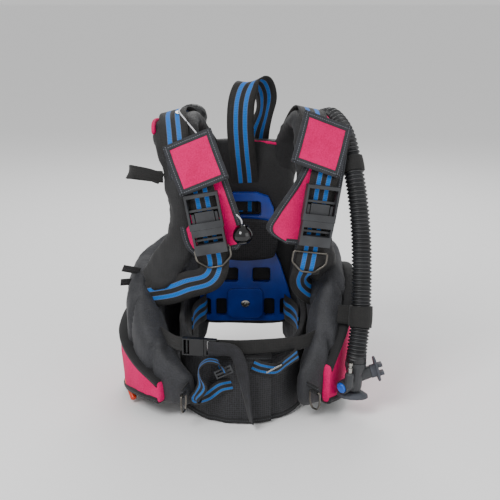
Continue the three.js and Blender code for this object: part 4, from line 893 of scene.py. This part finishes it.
# %% Pockets
POCKET_HALF = 8  # half of a pocket's thickness
POCKET_LIFT = 2.4  # how far its middle stands off the wing
POCKETS = {
    "right": [(1, 30, 150), (2, 18, 150), (3, 14, 132), (4, 22, 116), (5, 32, 96), (6, 34, 72)],
    "left": [(1, 30, 200), (2, 18, 232), (3, 14, 240), (4, 16, 216), (5, 22, 158), (6, 28, 98)],
}


def moved_out(rows, side, distance):
    """Rows in plan, moved sideways from their path."""
    plan = np.array([r[:2] for r in rows], float)
    along = unit(np.gradient(plan, axis=0))
    return plan + side * np.array(distance)[:, None] * np.stack([-along[:, 1], along[:, 0]], 1)


for name, (side, path) in WINGS.items():
    plan = moved_out(path, side, [row[4] + POCKET_LIFT for row in path])
    up = (side * WING_LEAN, 0, 1)
    rows = [[*plan[k], (low + high) / 2, up, (high - low) / 2, POCKET_HALF] for k, low, high in POCKETS[name]]
    pocket_path = Path(rows, 60, level=2).rounded(0.005)
    pocket = loft(f"{name}_pocket_bag", pocket_path, oval(44, 4), strip=True)
    crumple(pocket, 0.0020, 0.035, (1, 1, 0.5), 51 + side)
    fit(pocket, "vest", PINK_NYLON, "pink", f"{name}_pocket")
    edge = Path(rows, 60, level=2)
    for k in (-1, 1):
        rim = loft(f"{name}_pocket_rim_{k + 1}", edge_path(edge, k, 0.004, 0.0024), oval(16, 3), strip=True)
        fit(rim, "vest", BLACK_BINDING, "binding")

# %% [markdown]
# The cummerbund is the wide mesh belt worn inside the wings. It hangs in soft vertical folds.

# %% Cummerbund
GIRTH = [
    (88, 74, 60, 168), (102, 44, 34, 176), (108, -10, 20, 172), (104, -60, 6, 156), (85, -104, 2, 138),
    (50, -132, 0, 128), (0, -146, 0, 128), (-44, -137, 2, 126),
]
for name, side, out in (("right", -1, 8.6), ("left", 1, 0)):
    base = [[side * x, y] for x, y, _, _ in GIRTH]
    plan = moved_out(base, side, [out] * len(base))
    rows = [[*p, (low + high) / 2, Z, (high - low) / 2, 4] for p, (_, _, low, high) in zip(plan, GIRTH)]
    girth_path = Path(rows, 150, level=2)
    band = loft(f"{name}_cummerbund_mesh", girth_path, oval(44, 6), strip=True)
    crumple(band, 0.0024, 0.03, (1, 1, 0.14), 61 + side)
    fit(band, "vest", MESH_FABRIC, "mesh", f"{name}_cummerbund")
    for k in (-1, 1):
        rim_path = edge_path(girth_path, k, 0.005, 0.0006)
        rim = loft(f"{name}_cummerbund_rim_{k + 1}", rim_path, oval(16, 4), strip=True)
        crumple(rim, 0.0018, 0.03, (1, 1, 0.14), 61 + side)
        fit(rim, "vest", BLACK_BINDING, "binding")

# %% [markdown]
# The waist belt is 25 mm webbing with a side-release buckle, its loose tail hanging down in front. Two more
# 25 mm straps, striped in blue, tighten the cummerbund through a ladder lock and a tri-glide.

# %% Belts and adjusters
CLASP = frame_at((-78, -157, 145), -10)
clasp = lambda x, y: [*(CLASP @ Vector((x, y, 0))), Z]
slim = lambda rows: [[*r, 12.5, 0.8] for r in rows]
right_belt = [clasp(-18, 7.1), clasp(-32, 7.1), [-122, -130, 143, Z], [-138, -104, 142, Z], [-152, -80, 142, Z]]
left_belt = [
    clasp(16, 6.1), clasp(34, 6.1), [-6, -162, 146, Z], [30, -160, 147, Z], [64, -151, 146, Z], [96, -133, 143, Z],
    [122, -104, 142, Z], [136, -82, 142, Z],
]
tail = [
    clasp(16, -6.1), clasp(32, -6.1), [-20, -174, 143, (0.5, -0.3, 0.8)], [-8, -178, 124, (0.85, -0.5, 0.2)],
    [-3, -178, 97, (0.8, -0.6, 0)], [4, -178, 54, (0.5, -0.86, 0)], [11, -177, 12, (0.3, -0.95, 0)],
]
strip("right_belt_webbing", slim(right_belt), PLAIN_WEB, "vest", "webbing", "right_waist_belt")
left_web, _ = strip("left_belt_webbing", slim(left_belt), PLAIN_WEB, None, "webbing", "left_waist_belt", count=100)
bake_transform(left_web)
strip("belt_tail_webbing", slim(tail), TAIL_WEB, "belt_clasp", "webbing", "belt_tail", count=90)
level = (-0.3, 0, 0.95)
right_adjuster = [
    [-22, -154, 73, level], [-43, -157, 69, level], [-64, -159, 54, level], [-82, -158, 46, (-0.2, -0.5, 0.8)],
    [-86, -166, 54, (0.4, -0.9, 0.3)], [-74, -172, 76, (0.7, -0.7, -0.1)], [-78, -172, 96, (0.3, -0.95, 0)],
    [-77, -172, 114, (0, -1, 0)], [-64, -172, 125, (0, -1, 0)], [-48, -172, 123, (0, -1, 0)],
    [-41, -172, 113, (0.5, -0.85, 0.2)], [-37, -171, 103, (0.6, -0.8, 0.2)],
]
left_adjuster = [
    [92, -143, 126, (0.2, 0, 1)], [72, -157, 116, (0.2, -0.2, 1)], [54, -165, 106, (0.15, -0.3, 1)],
    [30, -158, 105, (0.1, 0, 1)], [14, -157, 111, (0.1, 0, 1)],
]
strip("right_adjuster_webbing", slim(right_adjuster), SLIM_HARNESS, "vest", "webbing", "right_adjuster", count=140)
strip("left_adjuster_webbing", slim(left_adjuster), SLIM_HARNESS, "vest", "webbing", "left_adjuster", count=60)

# %% [markdown]
# D-rings are bent steel wire. The shoulder rings hang from the plugs' webbing and the lower rings from sewn
# tabs on the wings.


# %% Rings and their tabs
def bent_wire(name, corners, rounding, wire, into, body, node_name):
    """A closed loop of wire through rounded corners in the frame's X and Z."""
    points = []
    total = len(corners)
    for k in range(total):
        before, at, after = (np.array(corners[(k + d) % total], float) for d in (-1, 0, 1))
        enter, leave = at + unit(before - at) * rounding, at + unit(after - at) * rounding
        for t in np.linspace(0, 1, 7):
            points.append((1 - t) ** 2 * enter + 2 * t * (1 - t) * at + t**2 * leave)
    rows = [[p[0], p[1], p[2], Y, wire, wire] for p in points]
    ring = loft(name, Path(rows, 160, closed=True, into=into), oval(14))
    return fit(ring, body, DARK_STEEL, "steel", node_name)


for name, strap in STRAPS.items():
    top = -46 - strap["drop"]
    outline = [(-31.2, 0), (31.2, 0), (31.2, -20), (12, -36), (-12, -36), (-31.2, -20)]
    corners = [(x, 7.5, top + z) for x, z in outline]
    bent_wire(f"{name}_shoulder_d_ring", corners, 5, 2, strap["into"], f"{name}_ring", f"{name}_shoulder_ring")
for name, middle, turn in (("right", (-106, -175, 64), 75), ("left", (122, -164, 64), 128)):
    into = frame_at(middle, turn)
    corners = [(-13, 0, 0), (13, 0, 0), (13, 0, -20), (7, 0, -32), (-7, 0, -32), (-13, 0, -20)]
    bent_wire(f"{name}_lower_d_ring", corners, 4, 1.7, into, f"{name}_low_ring", f"{name}_lower_ring")
    fold = [[0, 3.2 * math.sin(a), -0.4 + 3.4 * -math.cos(a), X, 8, 0.7] for a in np.linspace(-2.6, 2.6, 12)]
    strip(f"{name}_ring_fold", fold, BLACK_BINDING, "vest", "webbing", into=into, count=40)
    tab = [[x, 0, z, Z, 4, 1.6] for x, z in ((-8, 7), (16, 8), (40, 8))]
    strip(f"{name}_ring_tab", tab, BLACK_BINDING, "vest", "webbing", into=into)

# %% [markdown]
# The inflator hose is corrugated rubber: its radius rises and falls every 6 to 8 mm, closer near the hand
# piece, so it bends without kinking. It leaves the left shoulder at an elbow and hangs to the inflator at
# the waist.

# %% Inflator hose
HOSE = [
    [133, 68, 503], [146, 50, 513], [160, 26, 515], [178, -8, 490], [190, -34, 440], [199, -58, 383],
    [205, -76, 314], [206, -92, 245], [204, -108, 176], [198.7, -120, 128], [197, -120, 104],
]
HOSE_RADIUS = 18
HOSE_STOPS = 1100
RIDGE_DEEP = 0.0032
hose_path = Path([[*p, (0.2, 1, 0.1), HOSE_RADIUS, HOSE_RADIUS] for p in HOSE], HOSE_STOPS)
share = hose_path.length / hose_path.length[-1]
pitch = 0.0078 - 0.002 * share
ridges = np.cumsum(np.gradient(hose_path.length) / pitch)
wave = 0.5 + 0.5 * np.cos(2 * np.pi * ridges)
cuff = np.clip((np.abs(share - 0.5) - 0.475) / 0.01, 0, 1)
hose_path.wide = hose_path.deep = HOSE_RADIUS / 1000 - RIDGE_DEEP * (1 - wave**0.7) * (1 - cuff)
hose_tube = loft("inflator_hose_tube", hose_path, oval(36))
fit(hose_tube, "vest", HOSE_RUBBER, "hose_rubber", "inflator_hose")
print("hose", round(float(hose_path.length[-1]) * 1000), "mm")

# %% [markdown]
# Two fabric keepers hold the hose: a sleeve at the shoulder and a hook-and-loop band at the waist, each
# with a tab that runs to the jacket.


# %% Hose keeper and band
def collar(name, along, half, reach, towards, node_name):
    k = int(along * (HOSE_STOPS - 1))
    near = np.abs(hose_path.length - hose_path.length[k]) <= half / 1000
    sleeve = hose_path.part(near)
    sleeve = sleeve.part(slice(None, None, 3))
    sleeve.wide = sleeve.deep = 0.0206 + 0.0006 * np.sin(np.linspace(0, np.pi, len(sleeve.place)))
    fit(loft(f"{name}_sleeve", sleeve, oval(36)), "vest", PLAIN_WEB, "webbing", node_name)
    pull = unit(np.array(towards, float))
    start, across = hose_path.place[k] * 1000 - SHIFT, hose_path.along[k]
    rows = [[*(start + pull * d), tuple(across), half * 0.85, 1.3] for d in (16, 22, 20 + reach)]
    strip(f"{name}_tab", rows, PLAIN_WEB, "vest", "webbing")


collar("hose_keeper", 0.4, 14, 26, (-1, 0.1, 0), "hose_keeper")
collar("hose_band", 0.79, 19, 22, (-1, 0.4, 0), "hose_band")

# %% [markdown]
# The dump cord opens the shoulder valve. It runs from the valve, up through the grommet and down under the
# flap to a glossy egg-shaped knob. Pulling the knob moves the cord's free end.

# %% Dump cord and knob
into = STRAPS["right"]["into"]
GROMMET, GROMMET_UP = np.array([-117, -4, 529.0]), unit(np.array([0.05, -0.3, 1]))
KNOB, KNOB_PULL = np.array([-4, -97, 330.0]), unit(np.array([0.1, -0.35, -0.93]))
valve = np.array([-98, 84, 508.0]) + 6 * unit(np.array([-0.05, 0.8, 0.6]))
local = [(22, lapel_front(132) + 0.5, 132), (34, lapel_front(108) + 0.5, 108)]
local += [(40, 17.2, 84), (44, 17.2, 40), (50, 16.2, 10)]
cord_points = [valve, valve + [-4, -22, 18]]
cord_points += [GROMMET + [4, 32, 4], GROMMET + 3 * GROMMET_UP, GROMMET + [12, -24, -9]]
cord_points += [np.array(into @ Vector(p)) for p in local] + [KNOB - 25 * KNOB_PULL, KNOB - 15 * KNOB_PULL]
cord_path = Path([[*p, (1, 0.1, 0.3), 1.25, 1.25] for p in cord_points], 260)
cord = loft("dump_cord_braid", cord_path, oval(10))
fit(cord, None, WHITE_CORD, "cord", "dump_cord")
knob_rows = []
for a in np.linspace(0.06, math.pi - 0.06, 40):
    girth = max(17.5 * math.sin(a) * (1 + 0.18 * math.cos(a)) * 0.97, 0.4)
    knob_rows.append([*(KNOB + KNOB_PULL * 18 * math.cos(a)), Y, girth, girth])
knob_path = Path(knob_rows, 60)
knob = fit(loft("dump_knob_egg", knob_path, oval(40)), "knob", GLOSS_BLACK, "black_plastic", "dump_knob")
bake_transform(cord)
print("dump cord", round(float(cord_path.length[-1]) * 1000), "mm")

# %% [markdown]
# Small things finish it: the whistle, the keeper loop on the right shoulder, pull tabs on the right wing, a
# blank oval badge on the plate and a blank white tag.

# %% Small pieces
whistle_rows = [[*p, X, 6, 6] for p in ((-220, -40, 36), (-214, -52, 22), (-207, -64, 8))]
whistle_path = Path(whistle_rows, 30).rounded(0.003)
fit(loft("whistle_tube", whistle_path, oval(24)), "vest", ORANGE, "orange", "whistle")
keeper = [
    [-146, -60, 420], [-168, -68, 430], [-192, -66, 434], [-203, -50, 430],
    [-192, -34, 424], [-170, -28, 420], [-146, -30, 418],
]
keeper_rows = [[*p, (0.3, -0.45, 0.85), 12, 1.3] for p in keeper]
strip("shoulder_keeper_loop", keeper_rows, PLAIN_WEB, "vest", "webbing", count=70)
for k, (low, high) in enumerate((((-196, -4, 236), (-226, -12, 244)), ((-204, 4, 214), (-232, -4, 214)))):
    middle = [(a + b) / 2 for a, b in zip(low, high)]
    rows = [[*p, (0.1, -0.6, 0.8), 9, 1.2] for p in (low, middle, high)]
    strip(f"wing_pull_tab_{k}", rows, BLACK_BINDING, "vest", "webbing", count=16)
badge_rows = [[0, 54.6 - 0.3 * k, 153.5, X, 9 - 0.6 * k, 6.5 - 0.6 * k] for k in range(3)]
fit(loft("plate_badge", Path(badge_rows, 8), oval(32)), "vest", STEEL, "steel")
tag_rows = [[47, 70, 300, X, 5, 0.5], [47, 69, 306, X, 5, 0.5], [48, 68, 312, X, 5, 0.5]]
strip("white_tag", tag_rows, WHITE_TAG, "vest", "shell", count=8)

# %% [markdown]
# The power button's coil spring is drawn as a real helix.

# %% Button spring
low, high = (np.array(corner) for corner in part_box("inflate_spring"))
press = next(np.array(joint["axis"]) for joint in frame["joints"] if joint["name"] == "inflate_press")
side_a = unit(np.cross(press, [0, 0, 1.0]))
side_b = np.cross(press, side_a)
SPRING_HALF, SPRING_RADIUS, SPRING_WIRE, TURNS = 3.2, 4.6, 0.5, 3
coil = []
for turn in np.linspace(0, 1, 40):
    angle = 2 * math.pi * TURNS * turn
    at = (low + high) * 500 - SHIFT + press * (2 * turn - 1) * SPRING_HALF
    at = at + SPRING_RADIUS * (math.cos(angle) * side_a + math.sin(angle) * side_b)
    coil.append([*at, tuple(press), SPRING_WIRE, SPRING_WIRE])
coil_wire = fit(loft("button_spring_coil", Path(coil, 200), oval(8)), "vest", STEEL, "steel", "inflate_spring")
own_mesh(coil_wire)

# %% [markdown]
# The light is a pale studio: a big soft key from the upper left, a fill from the right, a rim from behind,
# and a bright floor that returns light under the jacket.

# %% Floor and light
floor_mesh = bpy.data.meshes.new("floor")
floor_mesh.from_pydata([(-90, -90, 0), (90, -90, 0), (90, 90, 0), (-90, 90, 0)], [], [(0, 1, 2, 3)])
floor = bpy.data.objects.new("floor", floor_mesh)
bpy.context.scene.collection.objects.link(floor)
floor_paint, _ = new_material("floor_white", Base_Color=colour("F4F4F4"), Roughness=0.9)
floor_mesh.materials.append(floor_paint)
floor.location.z = CAD_BOX[0][2] - 0.0005


def area_light(name, place, size, watts):
    lamp = bpy.data.lights.new(name, "AREA")
    lamp.energy, lamp.size = watts, size
    light = bpy.data.objects.new(name, lamp)
    light.location = place
    light.rotation_euler = (AIM - Vector(place)).to_track_quat("-Z", "Y").to_euler()
    bpy.context.scene.collection.objects.link(light)


area_light("key", (-1.2, -1.8, 2.2), 1.1, 56)
area_light("fill", (1.8, -1.4, 1.0), 1.6, 14)
area_light("rim", (0.2, 1.8, 1.9), 1.2, 26)
world = bpy.data.worlds.new("studio")
world.use_nodes = True
world.node_tree.nodes["Background"].inputs["Color"].default_value = colour("FFFFFF")
world.node_tree.nodes["Background"].inputs["Strength"].default_value = 0.75
bpy.context.scene.world = world

# %% Measure and finish
print("CAD box", [tuple(round(v, 3) for v in p) for p in CAD_BOX])
